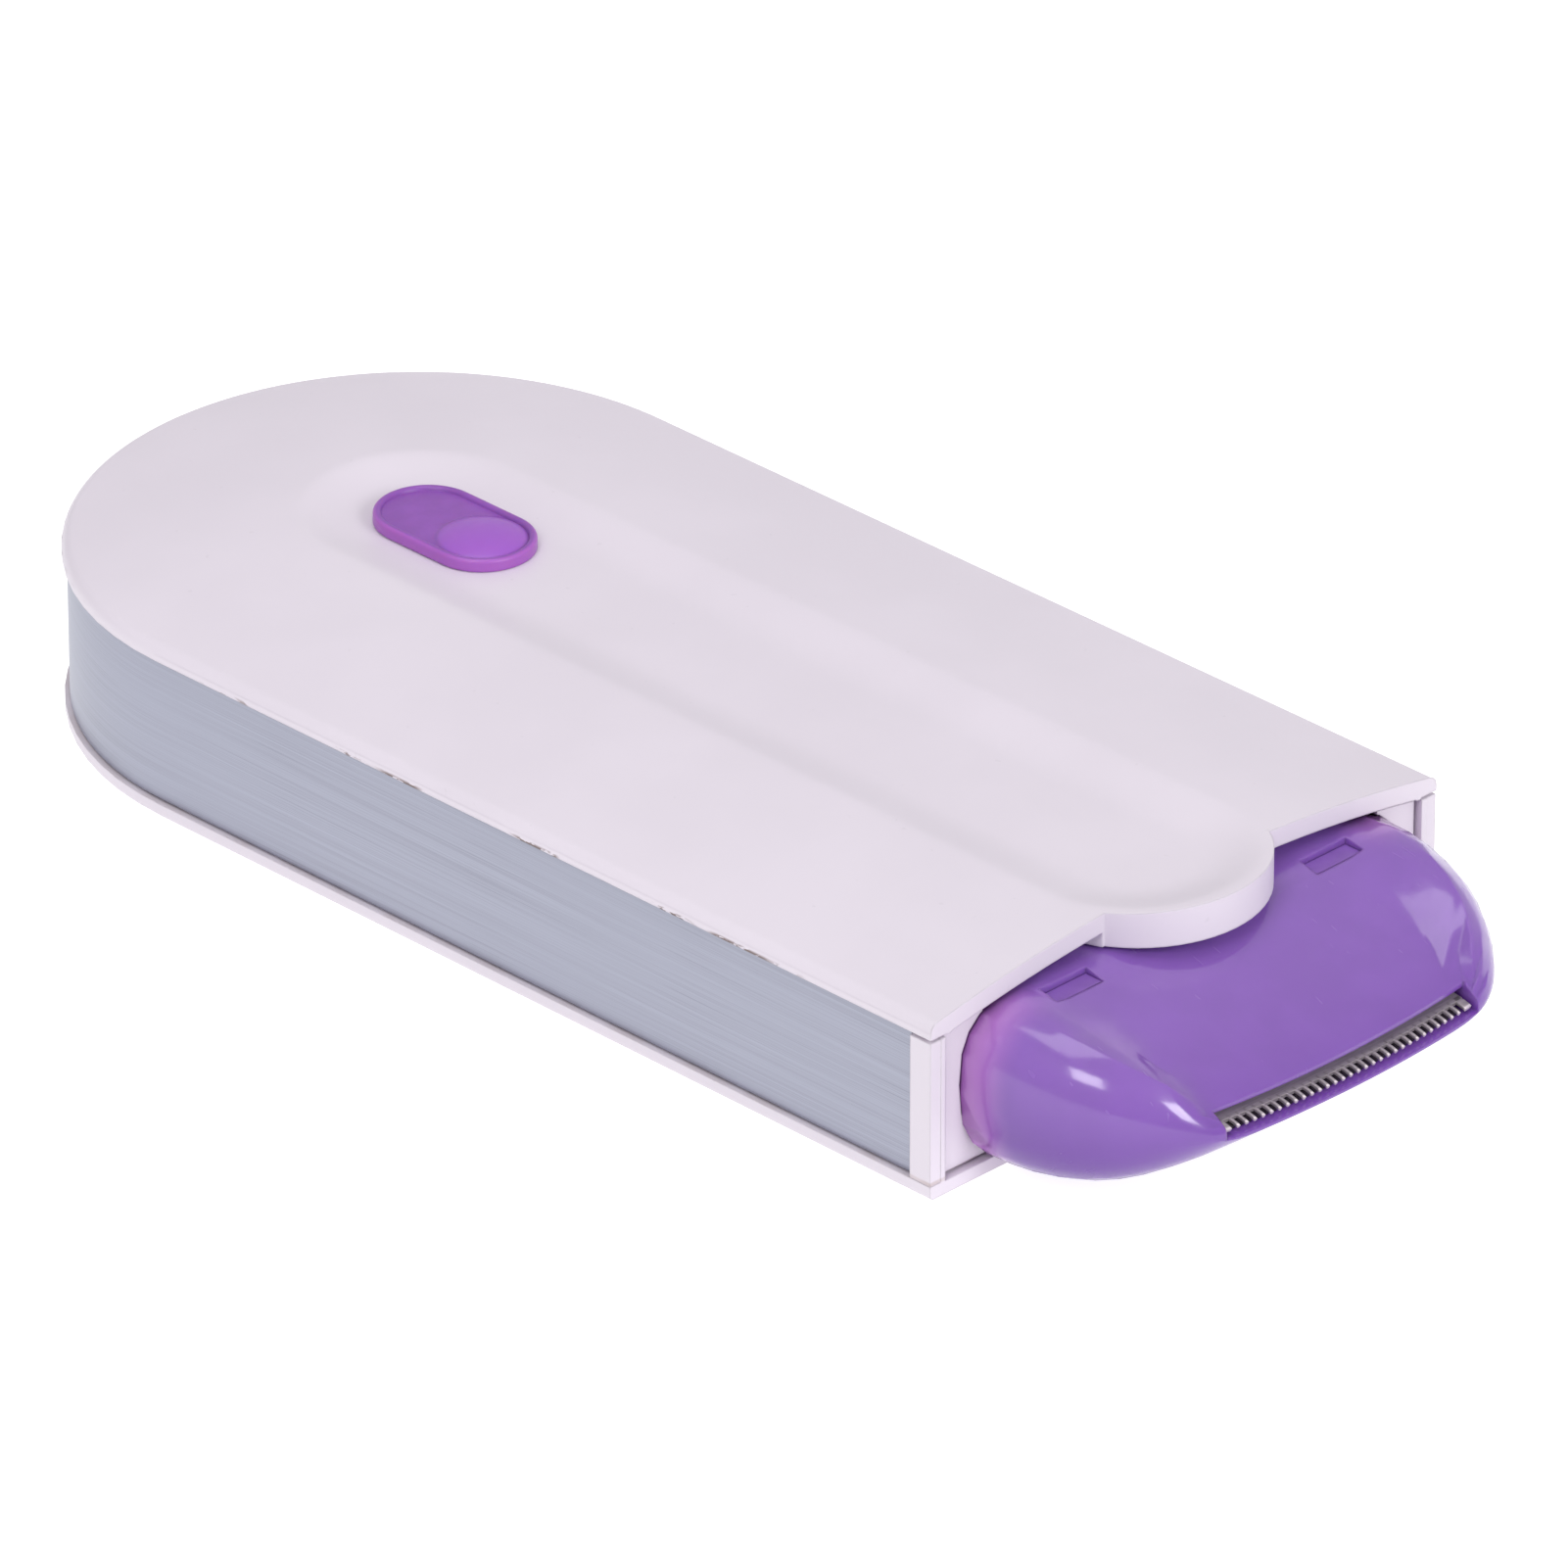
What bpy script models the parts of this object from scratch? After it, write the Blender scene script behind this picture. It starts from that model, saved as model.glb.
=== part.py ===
"""Hair trimmer with an oscillating blade: a flat palm-sized case and a head that pulls off.

Metres, +Z up. The head points to -Y, the round rear end to +Y, and X runs across the case.
The origin lies on the resting plane, under the middle of the whole tool.
"""

import math

import bmesh
import bpy
from mathutils import Matrix, Vector

MM = 0.001
DEGREE = math.pi / 180
QUARTER_TURN = math.pi / 2
SHARP_ANGLE = 35.0 * DEGREE

# Case: one plan for the cover, the base and the band, square in front and round behind
CASE_WIDTH = 61.0 * MM
CASE_LENGTH = 123.9 * MM
EDGE_HEIGHT = 16.6 * MM
CROWN_RISE = 3.0 * MM
SEAT_GAP = 0.3 * MM
OVERRUN = 1.0 * MM
TURN_STEPS = 32
ROUND_SIDES = 24
SMALL_SIDES = 16
WELD = 0.001 * MM

# Top cover
COVER_WALL = 1.9 * MM
COVER_RELIEF = 0.1 * MM
COVER_LIP = 1.35 * MM
COVER_LIP_WIDTH = 1.8 * MM
COVER_EDGE_ROUND = 0.9 * MM
COVER_RIB = 1.2 * MM
COVER_RIB_DEPTH = 2.5 * MM
PAD_THICKNESS = 3.5 * MM
TONGUE_RADIUS = 11.6 * MM
TONGUE_CENTRE = 6.0 * MM
CROWN_STEPS = 10
EDGE_STEPS = 3

# Thumb groove in the cover
GROOVE_HALF_WIDTH = 10.2 * MM
GROOVE_DEPTH = 1.4 * MM
GROOVE_SLOPE = 4.6 * MM
GROOVE_REAR_INSET = 31.9 * MM
GROOVE_STEPS = 6

# Base shell
BASE_LIP = 1.3 * MM
BASE_EDGE_ROUND = 0.4 * MM
BASE_WALL = 1.6 * MM
POST_DEPTH = 2.45 * MM
POST_SETBACK = 0.05 * MM

# Silver band in the recess between the lips
BAND_RECESS = 0.45 * MM
BAND_THICKNESS = 0.6 * MM
BAND_GAP = 0.2 * MM

# Front bezel
BEZEL_RECESS = 0.6 * MM
BEZEL_THICKNESS = 2.0 * MM
BEZEL_OPENING_GAP = 0.3 * MM

# Head shell
HEAD_REACH = 20.2 * MM
HEAD_INSET = 4.1 * MM
NOSE_MARGIN = 0.94 * MM
NOSE_BOW = 0.98 * MM
HEAD_TOP = 16.1 * MM
HEAD_BOTTOM = 1.0 * MM
NOSE_TOP = 8.5 * MM
NOSE_BOTTOM = 7.1 * MM
FLANK_ROOT = 7.2 * MM
FLANK_NOSE = 4.2 * MM
HEAD_WALL = 1.3 * MM
NOSE_SOLID = 3.7 * MM
SHOULDER = 0.3 * MM
NECK_DEPTH = 6.5 * MM
NECK_SIDE_STEP = 0.2 * MM
NECK_FLOOR_STEP = 1.7 * MM
NECK_ROOF_STEP = 0.3 * MM
PLATE_ROOT_HEIGHT = 15.8 * MM
PLATE_LIP_HEIGHT = 9.5 * MM
PLATE_RISE = 0.5 * MM
PLATE_ROOT_INSET = 6.0 * MM
PLATE_LIP_MARGIN = 1.4 * MM
PLATE_ROOT_BLEND = 4.0 * MM
PLATE_LIP_BLEND = 0.9 * MM
LIP_SETBACK = 1.85 * MM
LIP_EDGE = 0.4 * MM
LIP_UNDERCUT = 1.0 * MM
MOUTH_FLOOR = 7.35 * MM
HEAD_STEPS = 12
FLANK_STEPS = 10
FLAT_STEPS = 16
BOW_STEPS = 12
PLAN_POWERS = (2.18, 1.51)
ROOF_POWERS = (2.2, 1.5)
FLOOR_POWERS = (2.67, 1.0)
ROOT_FULLNESS = 2.7
NOSE_FULLNESS = 2.0

# Latch windows in the head, and the tabs in them
WINDOW_INNER = 12.9 * MM
WINDOW_WIDTH = 5.6 * MM
WINDOW_LENGTH = 2.1 * MM
WINDOW_SETBACK = 1.75 * MM
TAB_DROP = 0.3 * MM

# Blades: a fixed comb over a sliding cutter, both tilted. The comb's teeth bend down from its ridge
BLADE_TILT = 8.0 * DEGREE
RIDGE_SETBACK = 1.25 * MM
RIDGE_HEIGHT = 8.17 * MM
TOOTH_GAP_COUNT = 31
CUTTER_GAP_COUNT = 29
TOOTH_PITCH = 0.92 * MM
TOOTH_GAP_SHARE = 0.6
TOOTH_BEND_RADIUS = 2.0 * MM
TOOTH_BEND = 33.0 * DEGREE
TOOTH_BEND_STEPS = 4
TOOTH_ROOT = 0.08 * MM
COMB_LENGTH = 5.8 * MM
COMB_THICKNESS = 0.35 * MM
BLADE_END_MARGIN = 0.7 * MM
BLADE_GAP = 0.08 * MM
CUTTER_LEAD = 0.3 * MM
CUTTER_TOOTH = 0.9 * MM
CUTTER_BAR = 1.8 * MM
CUTTER_TAIL = 3.0 * MM
CUTTER_TAIL_HALF_WIDTH = 6.5 * MM
CUTTER_THICKNESS = 0.3 * MM
SLOT_SIDE_GAP = 0.25 * MM

# Blade drive
STROKE = 0.7 * MM
AXIS_HEIGHT = 8.3 * MM
PIN_RADIUS = 0.6 * MM
PIN_LENGTH = 9.0 * MM
PIN_SEAT = 2.8 * MM
RUNNING_GAP = 0.08 * MM
YOKE_WALL = 1.2 * MM
YOKE_LENGTH = 6.0 * MM
YOKE_REAR = 2.0 * MM
YOKE_SEAT = 1.2 * MM
SPRING_THICKNESS = 0.25 * MM
SPRING_HALF_WIDTH = 3.0 * MM
SPRING_FOOT = 3.5 * MM
CAM_RADIUS = 3.0 * MM
CAM_GAP = 1.0 * MM
SHAFT_SEAT = 2.5 * MM

# Blade carrier inside the head
CARRIER_FLOOR = 0.9 * MM
CARRIER_CHEEK = 4.5 * MM
CARRIER_SIDE_GAP = 0.5 * MM
CARRIER_REAR = 5.0 * MM

# Motor and its mounting
MOTOR_SETBACK = 10.5 * MM
MOTOR_RADIUS = 7.75 * MM
MOTOR_HALF_HEIGHT = 6.0 * MM
MOTOR_LENGTH = 20.0 * MM
MOTOR_NOSE_RADIUS = 3.0 * MM
MOTOR_NOSE_LENGTH = 1.2 * MM
MOTOR_CAP_LENGTH = 2.5 * MM
SHAFT_RADIUS = 1.0 * MM
TERMINAL_LENGTH = 2.6 * MM
TERMINAL_WIDTH = 1.6 * MM
TERMINAL_THICKNESS = 0.4 * MM
TERMINAL_OFFSET = 3.6 * MM
CRADLE_RIB = 2.0 * MM
CRADLE_WALL = 2.2 * MM
CRADLE_INSET = 3.5 * MM
CLAMP_LENGTH = 5.0 * MM
CLAMP_THICKNESS = 1.0 * MM
CLAMP_FOOT = 1.5 * MM

# Slide knob and switch
KNOB_REAR_GAP = 4.0 * MM
KNOB_TRAVEL = 4.0 * MM
KNOB_HALF_WIDTH = 4.8 * MM
KNOB_LENGTH = 16.4 * MM
KNOB_HEIGHT = 1.1 * MM
KNOB_RIM = 1.1 * MM
KNOB_DISH = 0.5 * MM
KNOB_EDGE_ROUND = 0.3 * MM
THUMB_BUMP_RADIUS = 3.3 * MM
THUMB_BUMP_HEIGHT = 1.0 * MM
DOME_STEPS = 5
STEM_WIDTH = 3.4 * MM
STEM_LENGTH = 5.0 * MM
HOOK_REACH = 0.8 * MM
HOOK_HEIGHT = 0.8 * MM
STEM_BELOW_HOOK = 0.6 * MM
LEVER_SIZE = 1.5 * MM
LEVER_RISE = 1.5 * MM
LEVER_SINK = 1.0 * MM
SWITCH_WIDTH = 4.0 * MM
SWITCH_LENGTH = 9.4 * MM
SWITCH_HEIGHT = 3.4 * MM

# Circuit board and charging socket
BOARD_THICKNESS = 1.2 * MM
BOARD_CELL_GAP = 2.0 * MM
BOARD_RIGHT_INSET = 18.5 * MM
BOARD_FRONT_INSET = 55.9 * MM
BOARD_REAR_INSET = 13.9 * MM
BOARD_NECK_INSET = 5.9 * MM
BOARD_NECK_HALF_WIDTH = 5.0 * MM
BOARD_POST_RADIUS = 1.6 * MM
BOARD_POST_INSET = 2.4 * MM
SOCKET_WIDTH = 7.6 * MM
SOCKET_HEIGHT = 2.8 * MM
SOCKET_LENGTH = 5.6 * MM
SOCKET_WALL = 0.4 * MM
SOCKET_MOUTH_GAP = 0.4 * MM
PORT_MARGIN = 0.6 * MM

# Battery
CELL_RADIUS = 5.0 * MM
CELL_FRONT_GAP = 6.1 * MM
CELL_SIDE_INSET = 15.5 * MM
CELL_REAR_INSET = 37.9 * MM
CELL_LIFT = 1.0 * MM
CELL_NIB_RADIUS = 1.8 * MM
CELL_NIB_LENGTH = 0.9 * MM
CONTACT_THICKNESS = 0.4 * MM
CONTACT_HALF_WIDTH = 4.2 * MM
CONTACT_BOW = 0.7 * MM
CELL_RIB = 1.6 * MM
CELL_RIB_WALL = 1.4 * MM
CELL_RIB_SHARES = (0.22, 0.78)

# Inner leads
LEAD_RADIUS = 0.5 * MM
LEAD_TURN = 2.5 * MM
LEAD_RISE = 8.0 * MM
LEAD_SHARES = (0, 0.05, 0.14, 0.26, 0.34, 0.64, 0.74, 0.92, 1)
LEAD_LANDING = 4.0 * MM
LEAD_STEPS = 4

# Case screws and their bosses
SCREW_FRONT_SETBACK = 16.0 * MM
SCREW_FRONT_INSET = 8.5 * MM
SCREW_REAR_INSET = 9.6 * MM
SCREW_REAR_ANGLE = 30.5 * DEGREE
SCREW_RADIUS = 0.95 * MM
SCREW_HEAD_RADIUS = 1.9 * MM
SCREW_HEAD_HEIGHT = 1.2 * MM
SCREW_LENGTH = 11.0 * MM
SCREW_RECESS = 1.6 * MM
SCREW_CLEARANCE = 0.25 * MM
BOSS_WALL = 1.4 * MM
BOSS_SPLIT_HEIGHT = 9.8 * MM

# Derived places shared by several pieces
CASE_RADIUS = CASE_WIDTH / 2
OVERALL_LENGTH = CASE_LENGTH + HEAD_REACH
FRONT_Y = HEAD_REACH - OVERALL_LENGTH / 2
REAR_Y = FRONT_Y + CASE_LENGTH
ARC_Y = REAR_Y - CASE_RADIUS
GROOVE_REAR_Y = REAR_Y - GROOVE_REAR_INSET
COVER_FOOT = EDGE_HEIGHT - COVER_LIP
LIP_INNER = CASE_RADIUS - COVER_LIP_WIDTH
WALL_OUTER = CASE_RADIUS - BAND_RECESS - BAND_THICKNESS - BAND_GAP
WALL_INNER = WALL_OUTER - BASE_WALL
WALL_TOP = COVER_FOOT - SEAT_GAP
RIB_OUTER = WALL_INNER - SEAT_GAP
RIB_INNER = RIB_OUTER - COVER_RIB
RIB_FRONT = NECK_DEPTH + SEAT_GAP
BAY_DEPTH = BEZEL_RECESS + BEZEL_THICKNESS + SEAT_GAP
CROWN_HEIGHT = EDGE_HEIGHT + CROWN_RISE
PAD_FOOT = CROWN_HEIGHT - PAD_THICKNESS
GROOVE_FLOOR = CROWN_HEIGHT - GROOVE_DEPTH
FLOOR_SEAT = BASE_LIP + SEAT_GAP

KNOB_Y = GROOVE_REAR_Y - KNOB_REAR_GAP
KNOB_FOOT = GROOVE_FLOOR + SEAT_GAP / 2
HOOK_TOP = PAD_FOOT - SEAT_GAP
HOOK_FOOT = HOOK_TOP - HOOK_HEIGHT
STEM_FOOT = HOOK_FOOT - STEM_BELOW_HOOK
SWITCH_TOP = STEM_FOOT - SEAT_GAP
SWITCH_FOOT = SWITCH_TOP - SWITCH_HEIGHT
BOARD_TOP = SWITCH_FOOT - SEAT_GAP
BOARD_FOOT = BOARD_TOP - BOARD_THICKNESS
SOCKET_TOP = BOARD_FOOT - SEAT_GAP
SOCKET_MID = SOCKET_TOP - SOCKET_HEIGHT / 2
SOCKET_MOUTH_Y = ARC_Y + WALL_INNER - SOCKET_MOUTH_GAP

RIDGE_Y = FRONT_Y - HEAD_REACH + RIDGE_SETBACK
BLADE_HALF_WIDTH = TOOTH_GAP_COUNT * TOOTH_PITCH / 2 + BLADE_END_MARGIN
SLOT_HALF_WIDTH = BLADE_HALF_WIDTH + SLOT_SIDE_GAP
NOSE_HALF_WIDTH = BLADE_HALF_WIDTH + NOSE_MARGIN
HEAD_HALF_WIDTH = CASE_RADIUS - HEAD_INSET
CUTTER_ROOT = CUTTER_TOOTH - CUTTER_LEAD
CUTTER_BACK = CUTTER_ROOT + CUTTER_BAR
CUTTER_END = CUTTER_BACK + CUTTER_TAIL
CUTTER_HALF_WIDTH = BLADE_HALF_WIDTH - STROKE - SLOT_SIDE_GAP
CUTTER_TOP = COMB_THICKNESS + BLADE_GAP
STACK = CUTTER_TOP + CUTTER_THICKNESS + BLADE_GAP
LIP_REACH = HEAD_REACH - LIP_SETBACK

MOTOR_Y = FRONT_Y + MOTOR_SETBACK
YOKE_PLAY = PIN_RADIUS + 2 * STROKE + 2 * RUNNING_GAP
YOKE_SLOT_HALF_HEIGHT = PIN_RADIUS + STROKE + SEAT_GAP
YOKE_HALF_WIDTH = YOKE_PLAY + YOKE_WALL
YOKE_HALF_HEIGHT = YOKE_SLOT_HALF_HEIGHT + YOKE_WALL
SHAFT_FRONT = MOTOR_NOSE_LENGTH + CAM_GAP + SHAFT_SEAT
NECK_FLOOR = HEAD_BOTTOM + NECK_FLOOR_STEP
NECK_ROOF = HEAD_TOP - NECK_ROOF_STEP
NECK_HALF_WIDTH = HEAD_HALF_WIDTH - NECK_SIDE_STEP
CARRIER_FOOT = NECK_FLOOR + HEAD_WALL + SEAT_GAP
CELL_HEIGHT = BASE_LIP + CELL_LIFT + CELL_RADIUS
CELL_OFFSET = CASE_RADIUS - CELL_SIDE_INSET
MOTOR_END = MOTOR_Y + MOTOR_LENGTH + SEAT_GAP + MOTOR_CAP_LENGTH + TERMINAL_LENGTH
CELL_Y = MOTOR_END + CELL_FRONT_GAP
CELL_LENGTH = REAR_Y - CELL_REAR_INSET - CELL_Y
BOARD_LEFT = CELL_OFFSET - CELL_RADIUS - BOARD_CELL_GAP
BOARD_RIGHT = CASE_RADIUS - BOARD_RIGHT_INSET
BOARD_FRONT_Y = REAR_Y - BOARD_FRONT_INSET
BOARD_REAR_Y = REAR_Y - BOARD_REAR_INSET

WHITE = (0.80, 0.74, 0.81)
WHITE_INSIDE = (0.74, 0.70, 0.76)
SILVER = (0.42, 0.46, 0.53)
PURPLE = (0.25, 0.12, 0.52)
BRIGHT_PURPLE = (0.35, 0.13, 0.56)
DARK_PURPLE = (0.12, 0.06, 0.28)
STEEL = (0.60, 0.60, 0.62)
GREEN = (0.03, 0.16, 0.07)
BLACK = (0.02, 0.02, 0.025)
BLUE = (0.05, 0.12, 0.40)
RED = (0.45, 0.03, 0.03)

PARTS = bpy.data.collections.new("hair_trimmer")
TOOLS = bpy.data.collections.new("hair_trimmer_cutters")


def clear_scene():
    for obj in list(bpy.data.objects):
        bpy.data.objects.remove(obj, do_unlink=True)
    bpy.context.scene.collection.children.link(PARTS)
    bpy.context.scene.collection.children.link(TOOLS)


def new_object(name, mesh, tool=False):
    obj = bpy.data.objects.new(name, mesh)
    if tool:
        TOOLS.objects.link(obj)
        obj.hide_render = True
        obj.display_type = "WIRE"
    else:
        PARTS.objects.link(obj)
    return obj


def object_from(name, shape, tool=False):
    """Welds a shape, turns its faces outwards and makes it a named object."""
    bmesh.ops.remove_doubles(shape, verts=shape.verts, dist=WELD)
    bmesh.ops.dissolve_degenerate(shape, dist=WELD, edges=shape.edges)
    bmesh.ops.recalc_face_normals(shape, faces=shape.faces)
    mesh = bpy.data.meshes.new(name)
    shape.to_mesh(mesh)
    shape.free()
    return new_object(name, mesh, tool)


def strip_cap(shape, row, turn):
    """Closes a ring by narrow faces, each between two points and the two that mirror them."""
    half = len(row) // 2
    for step in range(half):
        upper, lower = (turn + step) % len(row), (turn - step) % len(row)
        corners = [row[upper], row[(upper + 1) % len(row)], row[(lower - 1) % len(row)], row[lower]]
        shape.faces.new(list(dict.fromkeys(corners)))


def loft(name, rings, tool=False, seam=True, cap_end=True, turn=None):
    """Skins a row of rings with equal counts. Without a seam each ring starts and ends on an axis.
    With a turn, the number of the point where each ring turns back, the caps are narrow faces."""
    shape = bmesh.new()
    rows = [[shape.verts.new(point) for point in ring] for ring in rings]
    sides = len(rows[0]) if seam else len(rows[0]) - 1
    for row, following in zip(rows, rows[1:]):
        for side in range(sides):
            after = (side + 1) % len(row)
            shape.faces.new((row[side], row[after], following[after], following[side]))
    if turn is not None:
        strip_cap(shape, rows[0], turn)
        strip_cap(shape, rows[-1], turn)
        return object_from(name, shape, tool)
    shape.faces.new(rows[0])
    if cap_end:
        shape.faces.new(rows[-1])
    return object_from(name, shape, tool)


def box(name, low, high, tool=False, softened=0.0):
    shape = bmesh.new()
    bmesh.ops.create_cube(shape, size=1)
    low, high = Vector(low), Vector(high)
    bmesh.ops.scale(shape, vec=high - low, verts=shape.verts)
    bmesh.ops.translate(shape, vec=(low + high) / 2, verts=shape.verts)
    if softened:
        bmesh.ops.bevel(shape, geom=shape.edges, offset=softened, segments=2, profile=0.5, affect="EDGES")
    return object_from(name, shape, tool)


def rod(name, radius, start, end, tool=False, sides=ROUND_SIDES, far_radius=None):
    """A round bar or cone from one point to another."""
    start, end = Vector(start), Vector(end)
    turn = Vector((0, 0, 1)).rotation_difference(end - start).to_matrix().to_4x4()
    shape = bmesh.new()
    bmesh.ops.create_cone(
        shape,
        cap_ends=True,
        segments=sides,
        radius1=radius,
        radius2=radius if far_radius is None else far_radius,
        depth=(end - start).length,
        matrix=Matrix.Translation((start + end) / 2) @ turn,
    )
    return object_from(name, shape, tool)


def slab(name, outline, low, high, tool=False):
    """A flat outline in X and Y, given thickness along Z."""
    flat = bpy.data.curves.new(name, "CURVE")
    flat.dimensions = "2D"
    flat.fill_mode = "BOTH"
    flat.extrude = (high - low) / 2
    spline = flat.splines.new("POLY")
    spline.points.add(len(outline) - 1)
    for point, (x, y) in zip(spline.points, outline):
        point.co = (x, y, 0, 1)
    spline.use_cyclic_u = True
    guide = bpy.data.objects.new(name, flat)
    guide.location.z = (low + high) / 2
    TOOLS.objects.link(guide)
    bpy.context.view_layer.update()
    graph = bpy.context.evaluated_depsgraph_get()
    shape = bmesh.new()
    shape.from_mesh(bpy.data.meshes.new_from_object(guide.evaluated_get(graph)))
    bmesh.ops.transform(shape, matrix=guide.matrix_world, verts=shape.verts)
    bpy.data.objects.remove(guide, do_unlink=True)
    return object_from(name, shape, tool)


def turned(name, profile, steps=ROUND_SIDES, closed=False):
    """A profile of radius and height points, turned about the local Z axis."""
    shape = bmesh.new()
    verts = [shape.verts.new((radius, 0, height)) for radius, height in profile]
    for first, second in zip(verts, verts[1:]):
        shape.edges.new((first, second))
    if closed:
        shape.edges.new((verts[-1], verts[0]))
    mesh = bpy.data.meshes.new(name)
    shape.to_mesh(mesh)
    shape.free()
    obj = new_object(name, mesh)
    screw = obj.modifiers.new("turn", "SCREW")
    screw.steps = screw.render_steps = steps
    screw.use_merge_vertices = True
    screw.merge_threshold = WELD
    return obj


def boolean(target, tools, operation):
    for tool in tools:
        modifier = target.modifiers.new(f"{operation.lower()} {tool.name}", "BOOLEAN")
        modifier.operation = operation
        modifier.solver = "EXACT"
        modifier.object = tool


def cut(target, *tools):
    boolean(target, tools, "DIFFERENCE")


def join(target, *tools):
    boolean(target, tools, "UNION")


def finish(obj, colour, roughness, metallic=0.0):
    """Gives a piece its own material and smooth shading."""
    material = bpy.data.materials.new(obj.name)
    material.use_nodes = True
    shader = material.node_tree.nodes["Principled BSDF"]
    shader.inputs["Base Color"].default_value = (*colour, 1)
    shader.inputs["Roughness"].default_value = roughness
    shader.inputs["Metallic"].default_value = metallic
    obj.data.materials.append(material)
    obj.data.shade_smooth()
    obj.data.set_sharp_from_angle(angle=SHARP_ANGLE)


def axis_empty(name, place, turn=(0, 0, 0)):
    """An empty on a joint's axis, which carries the pieces that move about it."""
    empty = bpy.data.objects.new(name, None)
    empty.location = place
    empty.rotation_euler = turn
    PARTS.objects.link(empty)
    return empty


def hang_on(empty, *objects):
    """Parents pieces that were modelled in place, and leaves them where they are."""
    bpy.context.view_layer.update()
    for obj in objects:
        obj.parent = empty
        obj.matrix_parent_inverse = empty.matrix_world.inverted()


def crown(offset):
    """Height of the cover's top at a distance from the case's middle line."""
    return EDGE_HEIGHT + CROWN_RISE * (1 - (offset / CASE_RADIUS) ** 2)


def crown_at(x, y):
    return crown(math.hypot(x, max(y - ARC_Y, 0)))


def arc(centre, radius, start, end, steps):
    """Points along an arc, in degrees, as flat coordinates."""
    points = []
    for step in range(steps + 1):
        angle = (start + (end - start) * step / steps) * DEGREE
        points.append((centre[0] + radius * math.cos(angle), centre[1] + radius * math.sin(angle)))
    return points


def stadium(half_width, front_centre, rear_centre, steps=ROUND_SIDES // 2):
    front = arc((0, front_centre), half_width, 180, 360, steps)
    rear = arc((0, rear_centre), half_width, 0, 180, steps)
    return front + rear


def flat_round(radius, half_height, steps=ROUND_SIDES // 4):
    """A circle with its top and bottom cut flat."""
    lean = math.degrees(math.asin(half_height / radius))
    return arc((0, 0), radius, -lean, lean, steps) + arc((0, 0), radius, 180 - lean, 180 + lean, steps)


def sweep_round_case(name, section, front, seam, tool=False):
    """Carries a half section along the case's plan: up one side, round the rear end, down the other."""
    rings = [[(offset, front, height) for offset, height in section]]
    for step in range(TURN_STEPS + 1):
        angle = math.pi * step / TURN_STEPS
        reach = (math.cos(angle), math.sin(angle))
        rings.append([(offset * reach[0], ARC_Y + offset * reach[1], height) for offset, height in section])
    rings.append([(-offset, front, height) for offset, height in section])
    return loft(name, rings, tool, seam)


def crown_line(half_width, drop, steps=CROWN_STEPS):
    """Points below the crown, from the middle line out to a half width."""
    points = []
    for step in range(steps + 1):
        offset = half_width * step / steps
        points.append((offset, crown(offset) - drop))
    return points


def section_bar(name, section, front, rear, tool=False):
    """A section of X and Z points, drawn out along Y."""
    return loft(name, [[(x, y, z) for x, z in section] for y in (front, rear)], tool)


def profile_bar(name, profile, left, right, tool=False):
    """A profile of Y and Z points, drawn out along X."""
    return loft(name, [[(x, y, z) for y, z in profile] for x in (left, right)], tool)


def groove_cutter():
    """The thumb groove: stadium rings that sink along a quarter wave and close on the middle line."""
    front = FRONT_Y + TONGUE_CENTRE
    rear = GROOVE_REAR_Y
    rim = stadium(GROOVE_HALF_WIDTH + GROOVE_SLOPE / GROOVE_STEPS, front, rear)
    rings = [[(x, y, CROWN_HEIGHT + OVERRUN) for x, y in rim]]
    for step in range(-1, GROOVE_STEPS + 1):
        share = step / GROOVE_STEPS
        depth = GROOVE_DEPTH * math.sin(share * math.pi / 2)
        ring = stadium(GROOVE_HALF_WIDTH - GROOVE_SLOPE * share, front, rear)
        rings.append([(x, y, crown_at(x, y) - depth) for x, y in ring])
    rings.append([(0, y, crown_at(0, y) - GROOVE_DEPTH) for x, y in stadium(0, front, rear)])
    return loft("groove_cutter", rings, tool=True, cap_end=False)


def screw_places():
    front_x = CASE_RADIUS - SCREW_FRONT_INSET
    front = FRONT_Y + SCREW_FRONT_SETBACK
    rear_reach = CASE_RADIUS - SCREW_REAR_INSET
    rear_x = rear_reach * math.cos(SCREW_REAR_ANGLE)
    rear = ARC_Y + rear_reach * math.sin(SCREW_REAR_ANGLE)
    return {
        "front_left": (-front_x, front),
        "front_right": (front_x, front),
        "rear_left": (-rear_x, rear),
        "rear_right": (rear_x, rear),
    }


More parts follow.
